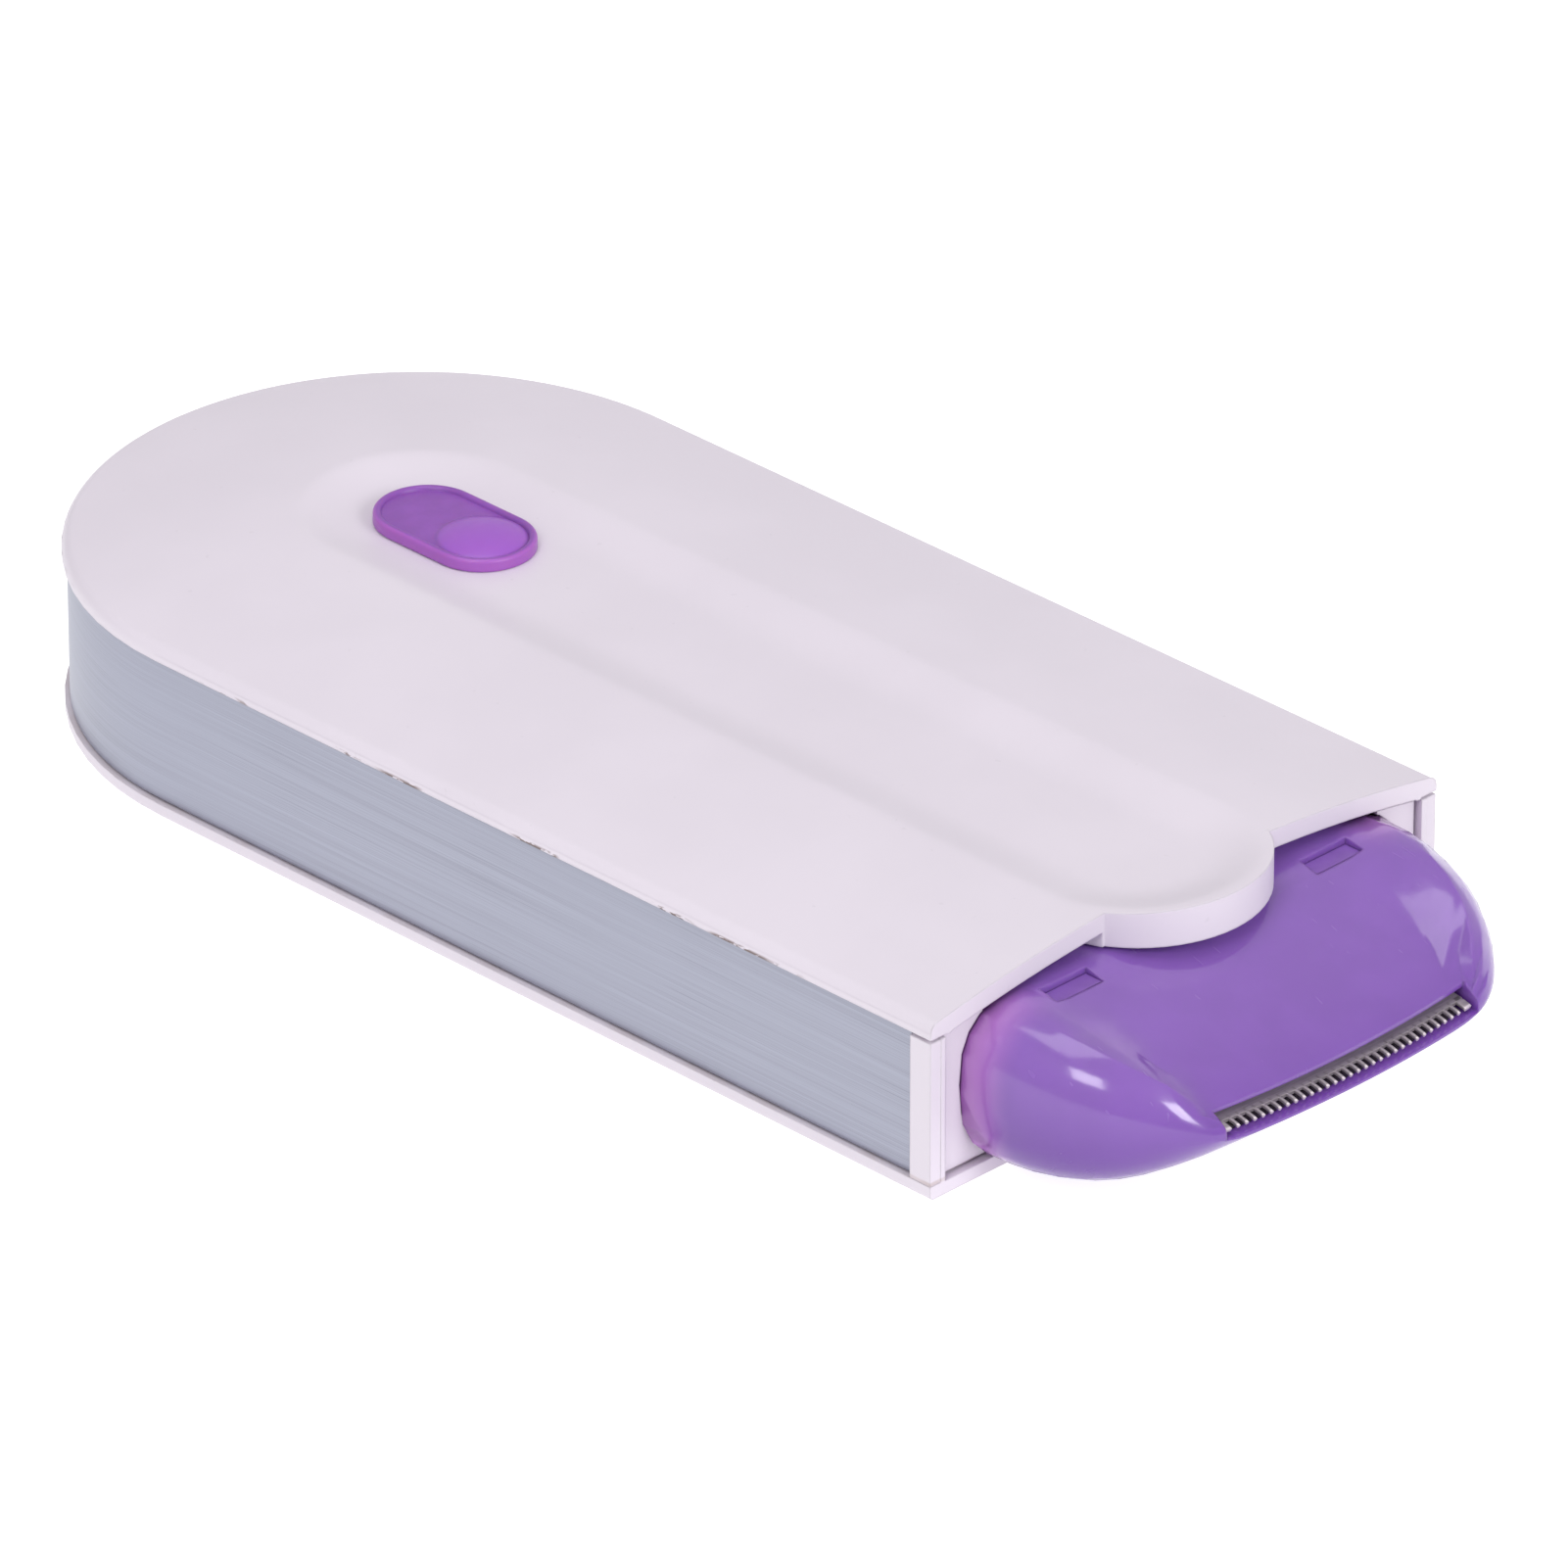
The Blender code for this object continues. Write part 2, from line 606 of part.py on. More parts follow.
def top_cover():
    section = crown_line(CASE_RADIUS - COVER_EDGE_ROUND, 0)
    top = section[-1]
    centre = (top[0], top[1] - COVER_EDGE_ROUND)
    section += arc(centre, COVER_EDGE_ROUND, 90, 0, EDGE_STEPS)[1:]
    section += [(CASE_RADIUS, COVER_FOOT), (LIP_INNER, COVER_FOOT)]
    rib_foot = COVER_FOOT - COVER_RIB_DEPTH
    for offset in (LIP_INNER - SEAT_GAP, RIB_OUTER):
        section.append((offset, crown(offset) - COVER_WALL))
    section += [(RIB_OUTER, rib_foot), (RIB_INNER, rib_foot)]
    section += reversed(crown_line(RIB_INNER, COVER_WALL))
    tongue_front = FRONT_Y + TONGUE_CENTRE - TONGUE_RADIUS - OVERRUN
    cover = sweep_round_case("top_cover", section, tongue_front, seam=False)

    relief_half = (LIP_INNER + RIB_OUTER) / 2
    relief = [(-x, z) for x, z in reversed(crown_line(relief_half, COVER_WALL - COVER_RELIEF))]
    relief += crown_line(relief_half, COVER_WALL - COVER_RELIEF)[1:]
    relief += [(relief_half, rib_foot - OVERRUN), (-relief_half, rib_foot - OVERRUN)]
    rib_front = FRONT_Y + RIB_FRONT
    cut(cover, section_bar("cover_front_relief", relief, tongue_front - OVERRUN, rib_front, tool=True))

    pad_front = FRONT_Y + TONGUE_CENTRE - OVERRUN / 2
    pad_outline = stadium(TONGUE_RADIUS, pad_front, GROOVE_REAR_Y)
    pad_top = crown(TONGUE_RADIUS) - COVER_WALL / 2
    join(cover, slab("cover_pad", pad_outline, PAD_FOOT, pad_top, tool=True))

    ahead_low = (-CASE_WIDTH, tongue_front - OVERRUN, 0)
    ahead = box("cover_front_cutter", ahead_low, (CASE_WIDTH, FRONT_Y, CASE_WIDTH), tool=True)
    tongue_place = FRONT_Y + TONGUE_CENTRE
    tongue = rod(
        "tongue_disc",
        TONGUE_RADIUS,
        (0, tongue_place, -OVERRUN),
        (0, tongue_place, CASE_WIDTH + OVERRUN),
        tool=True,
        sides=2 * TURN_STEPS,
    )
    cut(ahead, tongue)
    cut(cover, ahead, groove_cutter())

    slot_half = STEM_WIDTH / 2 + SEAT_GAP
    slot_low = (-slot_half, KNOB_Y - KNOB_TRAVEL - STEM_LENGTH / 2 - SEAT_GAP, PAD_FOOT - OVERRUN)
    slot_high = (slot_half, KNOB_Y + STEM_LENGTH / 2 + SEAT_GAP, CROWN_HEIGHT + OVERRUN)
    cut(cover, box("knob_slot_cutter", slot_low, slot_high, tool=True))

    boss_radius = SCREW_RADIUS + SCREW_CLEARANCE + BOSS_WALL
    for name, (x, y) in screw_places().items():
        low = BOSS_SPLIT_HEIGHT + SEAT_GAP
        high = crown_at(x, y) - COVER_WALL / 2
        boss_ends = ((x, y, low), (x, y, high))
        join(cover, rod(f"cover_boss_{name}", boss_radius, *boss_ends, tool=True, sides=SMALL_SIDES))
        bore_end = SCREW_RECESS + SCREW_HEAD_HEIGHT + SCREW_LENGTH + SEAT_GAP
        bore = rod(
            f"cover_bore_{name}",
            SCREW_RADIUS + SCREW_CLEARANCE,
            (x, y, low - OVERRUN),
            (x, y, bore_end),
            tool=True,
            sides=SMALL_SIDES,
        )
        cut(cover, bore)
    finish(cover, WHITE, 0.38)
    return cover


def motor_clearance():
    """The motor can with its seat gap all round, as a cutter for what cradles it."""
    outline = flat_round(MOTOR_RADIUS + SEAT_GAP, MOTOR_HALF_HEIGHT + SEAT_GAP)
    section = [(x, AXIS_HEIGHT + z) for x, z in outline]
    rear = MOTOR_Y + MOTOR_LENGTH + OVERRUN
    return section_bar("motor_clearance", section, MOTOR_Y - OVERRUN, rear, tool=True)


def base_shell():
    edge = arc((CASE_RADIUS - BASE_EDGE_ROUND, BASE_EDGE_ROUND), BASE_EDGE_ROUND, -90, 0, EDGE_STEPS)
    wall = [(WALL_OUTER, BASE_LIP), (WALL_OUTER, WALL_TOP), (WALL_INNER, WALL_TOP), (WALL_INNER, BASE_LIP)]
    section = [(0, 0)] + edge + [(CASE_RADIUS, BASE_LIP)] + wall + [(0, BASE_LIP)]
    shell = sweep_round_case("base_shell", section, FRONT_Y, seam=False)

    root = BASE_LIP / 2
    bay_low = (-LIP_INNER, FRONT_Y - OVERRUN, BASE_LIP - POST_SETBACK)
    bay_high = (LIP_INNER, FRONT_Y + BAY_DEPTH, WALL_TOP + OVERRUN)
    cut(shell, box("bezel_bay", bay_low, bay_high, tool=True))
    for side in (-1, 1):
        post_front = FRONT_Y + POST_SETBACK
        post_rear = FRONT_Y + POST_DEPTH
        post_top = WALL_TOP - POST_SETBACK
        low_x, high_x = sorted((side * (LIP_INNER + POST_SETBACK), side * (CASE_RADIUS - POST_SETBACK)))
        post_low, post_high = (low_x, post_front, root), (high_x, post_rear, post_top)
        join(shell, box(f"base_post_{side}", post_low, post_high, tool=True))

    cradle_half = MOTOR_RADIUS + SEAT_GAP + CRADLE_WALL
    for number, place in enumerate((CRADLE_INSET, MOTOR_LENGTH - CRADLE_INSET)):
        middle = MOTOR_Y + place
        low = (-cradle_half, middle - CRADLE_RIB / 2, root)
        high = (cradle_half, middle + CRADLE_RIB / 2, AXIS_HEIGHT)
        rib = box(f"motor_rib_{number}", low, high, tool=True)
        cut(rib, motor_clearance())
        join(shell, rib)

    cell_radius = CELL_RADIUS + SEAT_GAP
    rib_half = cell_radius + CELL_RIB_WALL
    cell_start = (-CELL_OFFSET, CELL_Y - OVERRUN, CELL_HEIGHT)
    cell_end = (-CELL_OFFSET, CELL_Y + CELL_LENGTH + OVERRUN, CELL_HEIGHT)
    clearance = rod("cell_clearance", cell_radius, cell_start, cell_end, tool=True)
    for number, share in enumerate(CELL_RIB_SHARES):
        middle = CELL_Y + CELL_LENGTH * share
        low = (-CELL_OFFSET - rib_half, middle - CELL_RIB / 2, root)
        high = (-CELL_OFFSET + rib_half, middle + CELL_RIB / 2, CELL_HEIGHT)
        rib = box(f"cell_rib_{number}", low, high, tool=True)
        cut(rib, clearance)
        join(shell, rib)

    for x, y in board_post_places():
        top = (x, y, BOARD_FOOT - SEAT_GAP)
        name = f"board_post_{x:.4f}_{y:.4f}"
        join(shell, rod(name, BOARD_POST_RADIUS, (x, y, root), top, tool=True, sides=SMALL_SIDES))

    bore_radius = SCREW_RADIUS + SCREW_CLEARANCE
    head_radius = SCREW_HEAD_RADIUS + SEAT_GAP
    for name, (x, y) in screw_places().items():
        boss_top = (x, y, BOSS_SPLIT_HEIGHT)
        boss_radius = head_radius + BOSS_WALL / 2
        boss = rod(f"base_boss_{name}", boss_radius, (x, y, root), boss_top, tool=True, sides=SMALL_SIDES)
        join(shell, boss)
        above = (x, y, BOSS_SPLIT_HEIGHT + OVERRUN)
        bore = rod(f"base_bore_{name}", bore_radius, (x, y, -OVERRUN), above, tool=True, sides=SMALL_SIDES)
        recess_top = (x, y, SCREW_RECESS + SCREW_HEAD_HEIGHT + SEAT_GAP)
        below = (x, y, -OVERRUN)
        recess = rod(f"base_recess_{name}", head_radius, below, recess_top, tool=True, sides=SMALL_SIDES)
        cut(shell, bore, recess)
    cut(shell, port_cutter())
    finish(shell, WHITE, 0.4)
    return shell


def board_post_places():
    left = -BOARD_LEFT + BOARD_POST_INSET
    right = BOARD_RIGHT - BOARD_POST_INSET
    front = BOARD_FRONT_Y + BOARD_POST_INSET
    rear = BOARD_REAR_Y - BOARD_POST_INSET
    return [(x, y) for x in (left, right) for y in (front, rear)]


def port_cutter():
    """The window through the rear wall and the band, in front of the charging socket."""
    half_width = SOCKET_WIDTH / 2 + PORT_MARGIN
    half_height = SOCKET_HEIGHT / 2 + PORT_MARGIN
    low = (-half_width, ARC_Y + WALL_INNER - BASE_WALL, SOCKET_MID - half_height)
    high = (half_width, ARC_Y + CASE_RADIUS + OVERRUN, SOCKET_MID + half_height)
    existing = bpy.data.objects.get("port_cutter")
    return existing or box("port_cutter", low, high, tool=True)


def side_band():
    outer = CASE_RADIUS - BAND_RECESS
    inner = outer - BAND_THICKNESS
    foot = BASE_LIP + BAND_GAP
    top = COVER_FOOT - BAND_GAP
    section = [(inner, foot), (outer, foot), (outer, top), (inner, top)]
    band = sweep_round_case("side_band", section, FRONT_Y + POST_DEPTH + BAND_GAP, seam=True)
    cut(band, port_cutter())
    finish(band, SILVER, 0.34, 0.9)
    return band


def power_curve(share, powers):
    """Falls from 1 at the root to 0 at the nose, blunt at the root and steep at the nose."""
    rise, fall = powers
    return max(1 - share**rise, 0) ** (1 / fall)


def head_section(reach, inset):
    """One closed ring of the head at a distance ahead of the case, its ends rounded like a stadium."""
    share = min(max(reach / HEAD_REACH, 0), 1)
    half_width = NOSE_HALF_WIDTH + (HEAD_HALF_WIDTH - NOSE_HALF_WIDTH) * power_curve(share, PLAN_POWERS)
    top = NOSE_TOP + (HEAD_TOP - NOSE_TOP) * power_curve(share, ROOF_POWERS)
    bottom = NOSE_BOTTOM + (HEAD_BOTTOM - NOSE_BOTTOM) * power_curve(share, FLOOR_POWERS)
    if reach < 0:
        half_width, top, bottom = NECK_HALF_WIDTH, NECK_ROOF, NECK_FLOOR
    dip = max(top - plate_height(reach), 0) if reach >= 0 else 0
    flank = FLANK_ROOT + (FLANK_NOSE - FLANK_ROOT) * share
    fullness = ROOT_FULLNESS + (NOSE_FULLNESS - ROOT_FULLNESS) * share
    size = (half_width - inset, top - inset, bottom + inset)
    return flank_ring(*size, flank - inset / 2, FRONT_Y - reach, fullness, dip)


def rounding(part, fullness):
    """A sine or cosine drawn out towards a squarer corner."""
    return math.copysign(abs(part) ** (2 / fullness), part)


def plate_share(x, reach):
    """How much of the top plate's dip a point takes: all of it in the middle, none on the cheeks."""
    share = min(max(reach / LIP_REACH, 0), 1)
    root_edge = HEAD_HALF_WIDTH - PLATE_ROOT_INSET
    edge = root_edge + (SLOT_HALF_WIDTH + PLATE_LIP_MARGIN - root_edge) * share
    blend = PLATE_ROOT_BLEND + (PLATE_LIP_BLEND - PLATE_ROOT_BLEND) * share
    across = min(max((edge + blend - abs(x)) / (2 * blend), 0), 1)
    return across * across * (3 - 2 * across)


def bow(x):
    """How far the nose and the blades fall back towards their ends, seen from above."""
    return NOSE_BOW * (x / NOSE_HALF_WIDTH) ** 2


def flank_ring(half_width, top, bottom, flank, y, fullness, dip=0):
    """A ring with two round flanks. Its top sinks by the dip, except on the cheeks."""
    middle = (top + bottom) / 2
    half_height = (top - bottom) / 2
    bow_share = max((FRONT_Y - y) / HEAD_REACH, 0) ** 3
    flat_half = half_width - flank
    ring = []
    for side, start in ((1, -90), (-1, 90)):
        for step in range(FLANK_STEPS + 1):
            angle = (start + 180 * step / FLANK_STEPS) * DEGREE
            out, rise = rounding(math.cos(angle), fullness), rounding(math.sin(angle), fullness)
            ring.append((side * flat_half + flank * out, half_height * rise))
        for step in range(1, FLAT_STEPS):
            ring.append((side * flat_half * (1 - 2 * step / FLAT_STEPS), side * half_height))
    points = []
    for x, rise in ring:
        sunk = dip * plate_share(x, FRONT_Y - y) * max(rise / half_height, 0)
        points.append((x, y + bow(x) * bow_share, middle + rise - sunk))
    return points


def flank_ring_points(ring):
    return [(x, z) for x, y, z in ring]


def head_reaches(nose):
    """Stations ahead of the case, closer together towards the nose."""
    shares = [math.sin(step / HEAD_STEPS * math.pi / 2) for step in range(HEAD_STEPS + 1)]
    return [SHOULDER + (nose - SHOULDER) * share for share in shares]


def plate_height(reach):
    """The head's top plate on its middle line: from the case down to the lip, rising a little in between."""
    share = reach / LIP_REACH
    chord = PLATE_ROOT_HEIGHT + (PLATE_LIP_HEIGHT - PLATE_ROOT_HEIGHT) * share
    return chord + 4 * PLATE_RISE * share * (1 - share)


def blade_frame(obj):
    """Places a piece drawn in the blades' own plane: its origin at the middle of the comb's ridge."""
    obj.location = (0, RIDGE_Y, RIDGE_HEIGHT)
    obj.rotation_euler = (BLADE_TILT, 0, 0)
    return obj


def blade_point(along, below):
    """Y and Z of a point in the blades' plane, measured back from the ridge and down from the comb's top."""
    sine, cosine = math.sin(BLADE_TILT), math.cos(BLADE_TILT)
    return (RIDGE_Y + along * cosine + below * sine, RIDGE_HEIGHT + along * sine - below * cosine)


def bowed_bar(name, profile, half_width, tool=False):
    """A profile of Y and Z points, drawn out along X and bowed within the blades' plane."""
    rings = []
    for step in range(BOW_STEPS + 1):
        x = half_width * (2 * step / BOW_STEPS - 1)
        back, up = bow(x) * math.cos(BLADE_TILT), bow(x) * math.sin(BLADE_TILT)
        rings.append([(x, y + back, z + up) for y, z in profile])
    return loft(name, rings, tool)


def blade_mouth():
    """The space for the blades: open in front, undercut below the lip, and a slot further back."""
    lip_y = FRONT_Y - LIP_REACH
    front = FRONT_Y - HEAD_REACH - OVERRUN
    slot_rear = COMB_LENGTH + SEAT_GAP
    undercut = lip_y + LIP_UNDERCUT
    undercut_along = (undercut - RIDGE_Y) / math.cos(BLADE_TILT)
    profile = [
        (front, HEAD_TOP),
        (lip_y, HEAD_TOP),
        (lip_y, PLATE_LIP_HEIGHT - LIP_EDGE),
        blade_point(undercut_along, -BLADE_GAP),
        blade_point(slot_rear, -BLADE_GAP),
        blade_point(slot_rear, STACK + BLADE_GAP),
        blade_point(CUTTER_ROOT, STACK + BLADE_GAP),
        (front, MOUTH_FLOOR),
    ]
    return bowed_bar("blade_mouth", profile, SLOT_HALF_WIDTH, tool=True)


def head_shell():
    neck = [-NECK_DEPTH, -SHOULDER]
    rings = [head_section(reach, 0) for reach in neck + head_reaches(HEAD_REACH)]
    shell = loft("head_shell", rings, turn=FLANK_STEPS // 2)

    hollow_end = HEAD_REACH - NOSE_SOLID
    hollow_reaches = [-NECK_DEPTH - OVERRUN, -SHOULDER] + head_reaches(hollow_end)[:-1:2] + [hollow_end]
    hollow_rings = [head_section(reach, HEAD_WALL) for reach in hollow_reaches]
    cut(shell, loft("head_hollow", hollow_rings, tool=True, turn=FLANK_STEPS // 2))

    cut(shell, blade_mouth())
    for side in (-1, 1):
        low_x, high_x = sorted((side * WINDOW_INNER, side * (WINDOW_INNER + WINDOW_WIDTH)))
        middle = FRONT_Y - WINDOW_SETBACK
        low = (low_x, middle - WINDOW_LENGTH / 2, AXIS_HEIGHT)
        high = (high_x, middle + WINDOW_LENGTH / 2, HEAD_TOP + OVERRUN)
        cut(shell, box(f"latch_window_{side}", low, high, tool=True))
    finish(shell, PURPLE, 0.25)
    return shell


def front_bezel():
    half_width = LIP_INNER - SEAT_GAP
    arch = crown_line(half_width, COVER_WALL + SEAT_GAP)
    foot = [(half_width, FLOOR_SEAT), (-half_width, FLOOR_SEAT)]
    section = [(-x, z) for x, z in reversed(arch)] + arch[1:] + foot
    front = FRONT_Y + BEZEL_RECESS
    bezel = section_bar("front_bezel", section, front, front + BEZEL_THICKNESS)
    gap = BEZEL_OPENING_GAP
    size = (NECK_HALF_WIDTH + gap, NECK_ROOF + gap, NECK_FLOOR - gap)
    ring = flank_ring(*size, FLANK_ROOT + gap / 2, 0, ROOT_FULLNESS)
    opening = section_bar(
        "bezel_opening",
        flank_ring_points(ring),
        front - OVERRUN,
        front + BEZEL_THICKNESS + OVERRUN,
        tool=True,
    )
    above_half = NECK_HALF_WIDTH - FLANK_ROOT / 3
    above_low = (-above_half, front - OVERRUN, AXIS_HEIGHT)
    above_high = (above_half, front + BEZEL_THICKNESS + OVERRUN, CROWN_HEIGHT)
    above = box("bezel_open_top", above_low, above_high, tool=True)
    cut(bezel, opening, above)
    finish(bezel, WHITE, 0.42)
    return bezel


def gap_middles(count):
    """Middles of a row of tooth gaps at the pitch, centred on the middle line."""
    return [(number - (count - 1) / 2) * TOOTH_PITCH for number in range(count)]


def comb_blade():
    """A sheet whose teeth bend down in an arc from the ridge, cut by a row of slits."""
    profile = [blade_point(COMB_LENGTH, 0)]
    for radius, order in ((TOOTH_BEND_RADIUS, 1), (TOOTH_BEND_RADIUS - COMB_THICKNESS, -1)):
        steps = range(TOOTH_BEND_STEPS + 1)[::order]
        for angle in (TOOTH_BEND * step / TOOTH_BEND_STEPS for step in steps):
            below = TOOTH_BEND_RADIUS - radius * math.cos(angle)
            profile.append(blade_point(-radius * math.sin(angle), below))
    profile.append(blade_point(COMB_LENGTH, COMB_THICKNESS))
    comb = bowed_bar("comb_blade", profile, BLADE_HALF_WIDTH)

    half_gap = TOOTH_PITCH * TOOTH_GAP_SHARE / 2
    ahead = -TOOTH_BEND_RADIUS - OVERRUN
    slits = bmesh.new()
    for middle in gap_middles(TOOTH_GAP_COUNT):
        low = Vector((middle - half_gap, ahead, -TOOTH_BEND_RADIUS))
        high = Vector((middle + half_gap, bow(middle) - TOOTH_ROOT, OVERRUN))
        made = bmesh.ops.create_cube(slits, size=1)["verts"]
        bmesh.ops.scale(slits, vec=high - low, verts=made)
        bmesh.ops.translate(slits, vec=(low + high) / 2, verts=made)
    cut(comb, blade_frame(object_from("comb_slits", slits, tool=True)))
    finish(comb, STEEL, 0.22, 1.0)
    return comb


def cutter_blade():
    """A flat toothed bar with a narrower tail, bowed like the comb."""
    half_gap = TOOTH_PITCH * TOOTH_GAP_SHARE / 2
    outline = [(-CUTTER_HALF_WIDTH, CUTTER_BACK), (-CUTTER_HALF_WIDTH, -CUTTER_LEAD)]
    for middle in gap_middles(CUTTER_GAP_COUNT):
        left, right = middle - half_gap, middle + half_gap
        outline += [(left, -CUTTER_LEAD), (left, CUTTER_ROOT), (right, CUTTER_ROOT), (right, -CUTTER_LEAD)]
    outline += [(CUTTER_HALF_WIDTH, -CUTTER_LEAD), (CUTTER_HALF_WIDTH, CUTTER_BACK)]
    tail = CUTTER_TAIL_HALF_WIDTH
    outline += [(tail, CUTTER_BACK), (tail, CUTTER_END), (-tail, CUTTER_END), (-tail, CUTTER_BACK)]
    bowed = [(x, along + bow(x)) for x, along in outline]
    cutter = blade_frame(slab("cutter_blade", bowed, -CUTTER_TOP - CUTTER_THICKNESS, -CUTTER_TOP))
    finish(cutter, STEEL, 0.3, 1.0)
    return cutter


def blade_yoke():
    """A seat under the cutter's tail, an arm, and a fork block whose slot takes the drive pin."""
    rear = FRONT_Y + YOKE_REAR
    front = rear - YOKE_LENGTH
    top = AXIS_HEIGHT + YOKE_HALF_HEIGHT
    bottom = AXIS_HEIGHT - YOKE_HALF_HEIGHT
    seat_start = CUTTER_BACK + SEAT_GAP
    profile = [
        blade_point(seat_start, STACK),
        blade_point(CUTTER_END, STACK),
        (front, top),
        (rear, top),
        (rear, bottom),
        (front, bottom),
        blade_point(CUTTER_END, STACK + YOKE_SEAT),
        blade_point(seat_start, STACK + YOKE_SEAT),
    ]
    yoke = profile_bar("blade_yoke", profile, -YOKE_HALF_WIDTH, YOKE_HALF_WIDTH)
    slot_low = (-YOKE_PLAY, front - OVERRUN, AXIS_HEIGHT - YOKE_SLOT_HALF_HEIGHT)
    slot_high = (YOKE_PLAY, rear + OVERRUN, AXIS_HEIGHT + YOKE_SLOT_HALF_HEIGHT)
    cut(yoke, box("yoke_slot", slot_low, slot_high, tool=True))
    finish(yoke, WHITE_INSIDE, 0.45)
    return yoke


def carrier_floor_front():
    """How far ahead of the case the carrier's floor reaches: to just behind the comb."""
    return HEAD_REACH - RIDGE_SETBACK - COMB_LENGTH - NOSE_BOW


def blade_carrier():
    """Floor, two cheeks that hold the comb's rear corners, and two latch tabs in the head's windows."""
    outer = BLADE_HALF_WIDTH - CARRIER_SIDE_GAP
    rear = FRONT_Y + CARRIER_REAR
    front = FRONT_Y - carrier_floor_front()
    top = CARRIER_FOOT + CARRIER_FLOOR
    floor_half = WINDOW_INNER + WINDOW_WIDTH / 3
    carrier = box("blade_carrier", (-floor_half, front, CARRIER_FOOT), (floor_half, rear, top))
    pad_start = CUTTER_BACK + NOSE_BOW + 2 * SEAT_GAP
    profile = [
        blade_point(pad_start, COMB_THICKNESS + BLADE_GAP),
        blade_point(COMB_LENGTH, COMB_THICKNESS + BLADE_GAP),
        (FRONT_Y - WINDOW_SETBACK, AXIS_HEIGHT),
        (FRONT_Y - WINDOW_SETBACK, CARRIER_FOOT + CARRIER_FLOOR / 2),
        (front, CARRIER_FOOT + CARRIER_FLOOR / 2),
        blade_point(pad_start, COMB_THICKNESS + BLADE_GAP + YOKE_SEAT),
    ]
    for side in (-1, 1):
        left, right = sorted((side * outer, side * (outer - CARRIER_CHEEK)))
        join(carrier, profile_bar(f"carrier_cheek_{side}", profile, left, right, tool=True))
        inner = WINDOW_INNER + SEAT_GAP
        left, right = sorted((side * inner, side * (WINDOW_INNER + WINDOW_WIDTH - SEAT_GAP)))
        middle = FRONT_Y - WINDOW_SETBACK
        half = WINDOW_LENGTH / 2 - SEAT_GAP
        low = (left, middle - half, CARRIER_FOOT)
        high = (right, middle + half, plate_height(WINDOW_SETBACK) - TAB_DROP)
        join(carrier, box(f"carrier_tab_{side}", low, high, tool=True))
    finish(carrier, DARK_PURPLE, 0.4)
    return carrier


def blade_spring():
    """A leaf from the carrier's floor up to the underside of the yoke's seat."""
    foot = CARRIER_FOOT + CARRIER_FLOOR + SEAT_GAP
    foot_rear = FRONT_Y - YOKE_LENGTH
    foot_front = foot_rear - SPRING_FOOT
    tip_y, tip_z = blade_point(CUTTER_END, STACK + YOKE_SEAT + SEAT_GAP + SPRING_THICKNESS)
    middle = ((foot_front + tip_y) / 2, (foot + tip_z) / 2)
    lower = [(foot_rear, foot), (foot_front, foot), middle, (tip_y, tip_z)]
    upper = [(y, z + SPRING_THICKNESS) for y, z in reversed(lower)]
    spring = profile_bar("blade_spring", lower + upper, -SPRING_HALF_WIDTH, SPRING_HALF_WIDTH)
    finish(spring, STEEL, 0.3, 1.0)
    return spring


def motor():
    """Flat-sided can with its nose, end cap with two terminals, and the strap over it."""
    turn = (QUARTER_TURN, 0, 0)
    place = (0, MOTOR_Y, AXIS_HEIGHT)
    outline = flat_round(MOTOR_RADIUS, MOTOR_HALF_HEIGHT)
    can = slab("motor_can", outline, -MOTOR_LENGTH, 0)
    nose = rod("motor_nose", MOTOR_NOSE_RADIUS, (0, 0, -OVERRUN), (0, 0, MOTOR_NOSE_LENGTH), tool=True)
    bore_end = (0, 0, MOTOR_NOSE_LENGTH + OVERRUN)
    bore = rod("motor_bore", SHAFT_RADIUS + RUNNING_GAP, (0, 0, -MOTOR_LENGTH - OVERRUN), bore_end, tool=True)
    join(can, nose)
    cut(can, bore)

    cap_front = -MOTOR_LENGTH - SEAT_GAP
    cap_rear = cap_front - MOTOR_CAP_LENGTH
    cap = slab("motor_end_cap", outline, cap_rear, cap_front)
    cap_bore_rear = (0, 0, cap_rear + MOTOR_CAP_LENGTH / 2)
    cap_bore_front = (0, 0, cap_front + OVERRUN)
    cap_bore = rod("cap_bore", SHAFT_RADIUS + RUNNING_GAP, cap_bore_rear, cap_bore_front, tool=True)
    cut(cap, cap_bore)
    for side in (-1, 1):
        low_x, high_x = sorted((side * TERMINAL_OFFSET, side * (TERMINAL_OFFSET + TERMINAL_WIDTH)))
        low = (low_x, -TERMINAL_THICKNESS / 2, cap_rear - TERMINAL_LENGTH)
        high = (high_x, TERMINAL_THICKNESS / 2, cap_rear + TERMINAL_THICKNESS)
        join(cap, box(f"motor_terminal_{side}", low, high, tool=True))

    for piece in (can, cap, nose, bore, cap_bore):
        piece.location = place
        piece.rotation_euler = turn
    for side in (-1, 1):
        terminal = bpy.data.objects[f"motor_terminal_{side}"]
        terminal.location = place
        terminal.rotation_euler = turn
    finish(can, STEEL, 0.35, 0.9)
    finish(cap, BLACK, 0.5)
    return [can, cap]


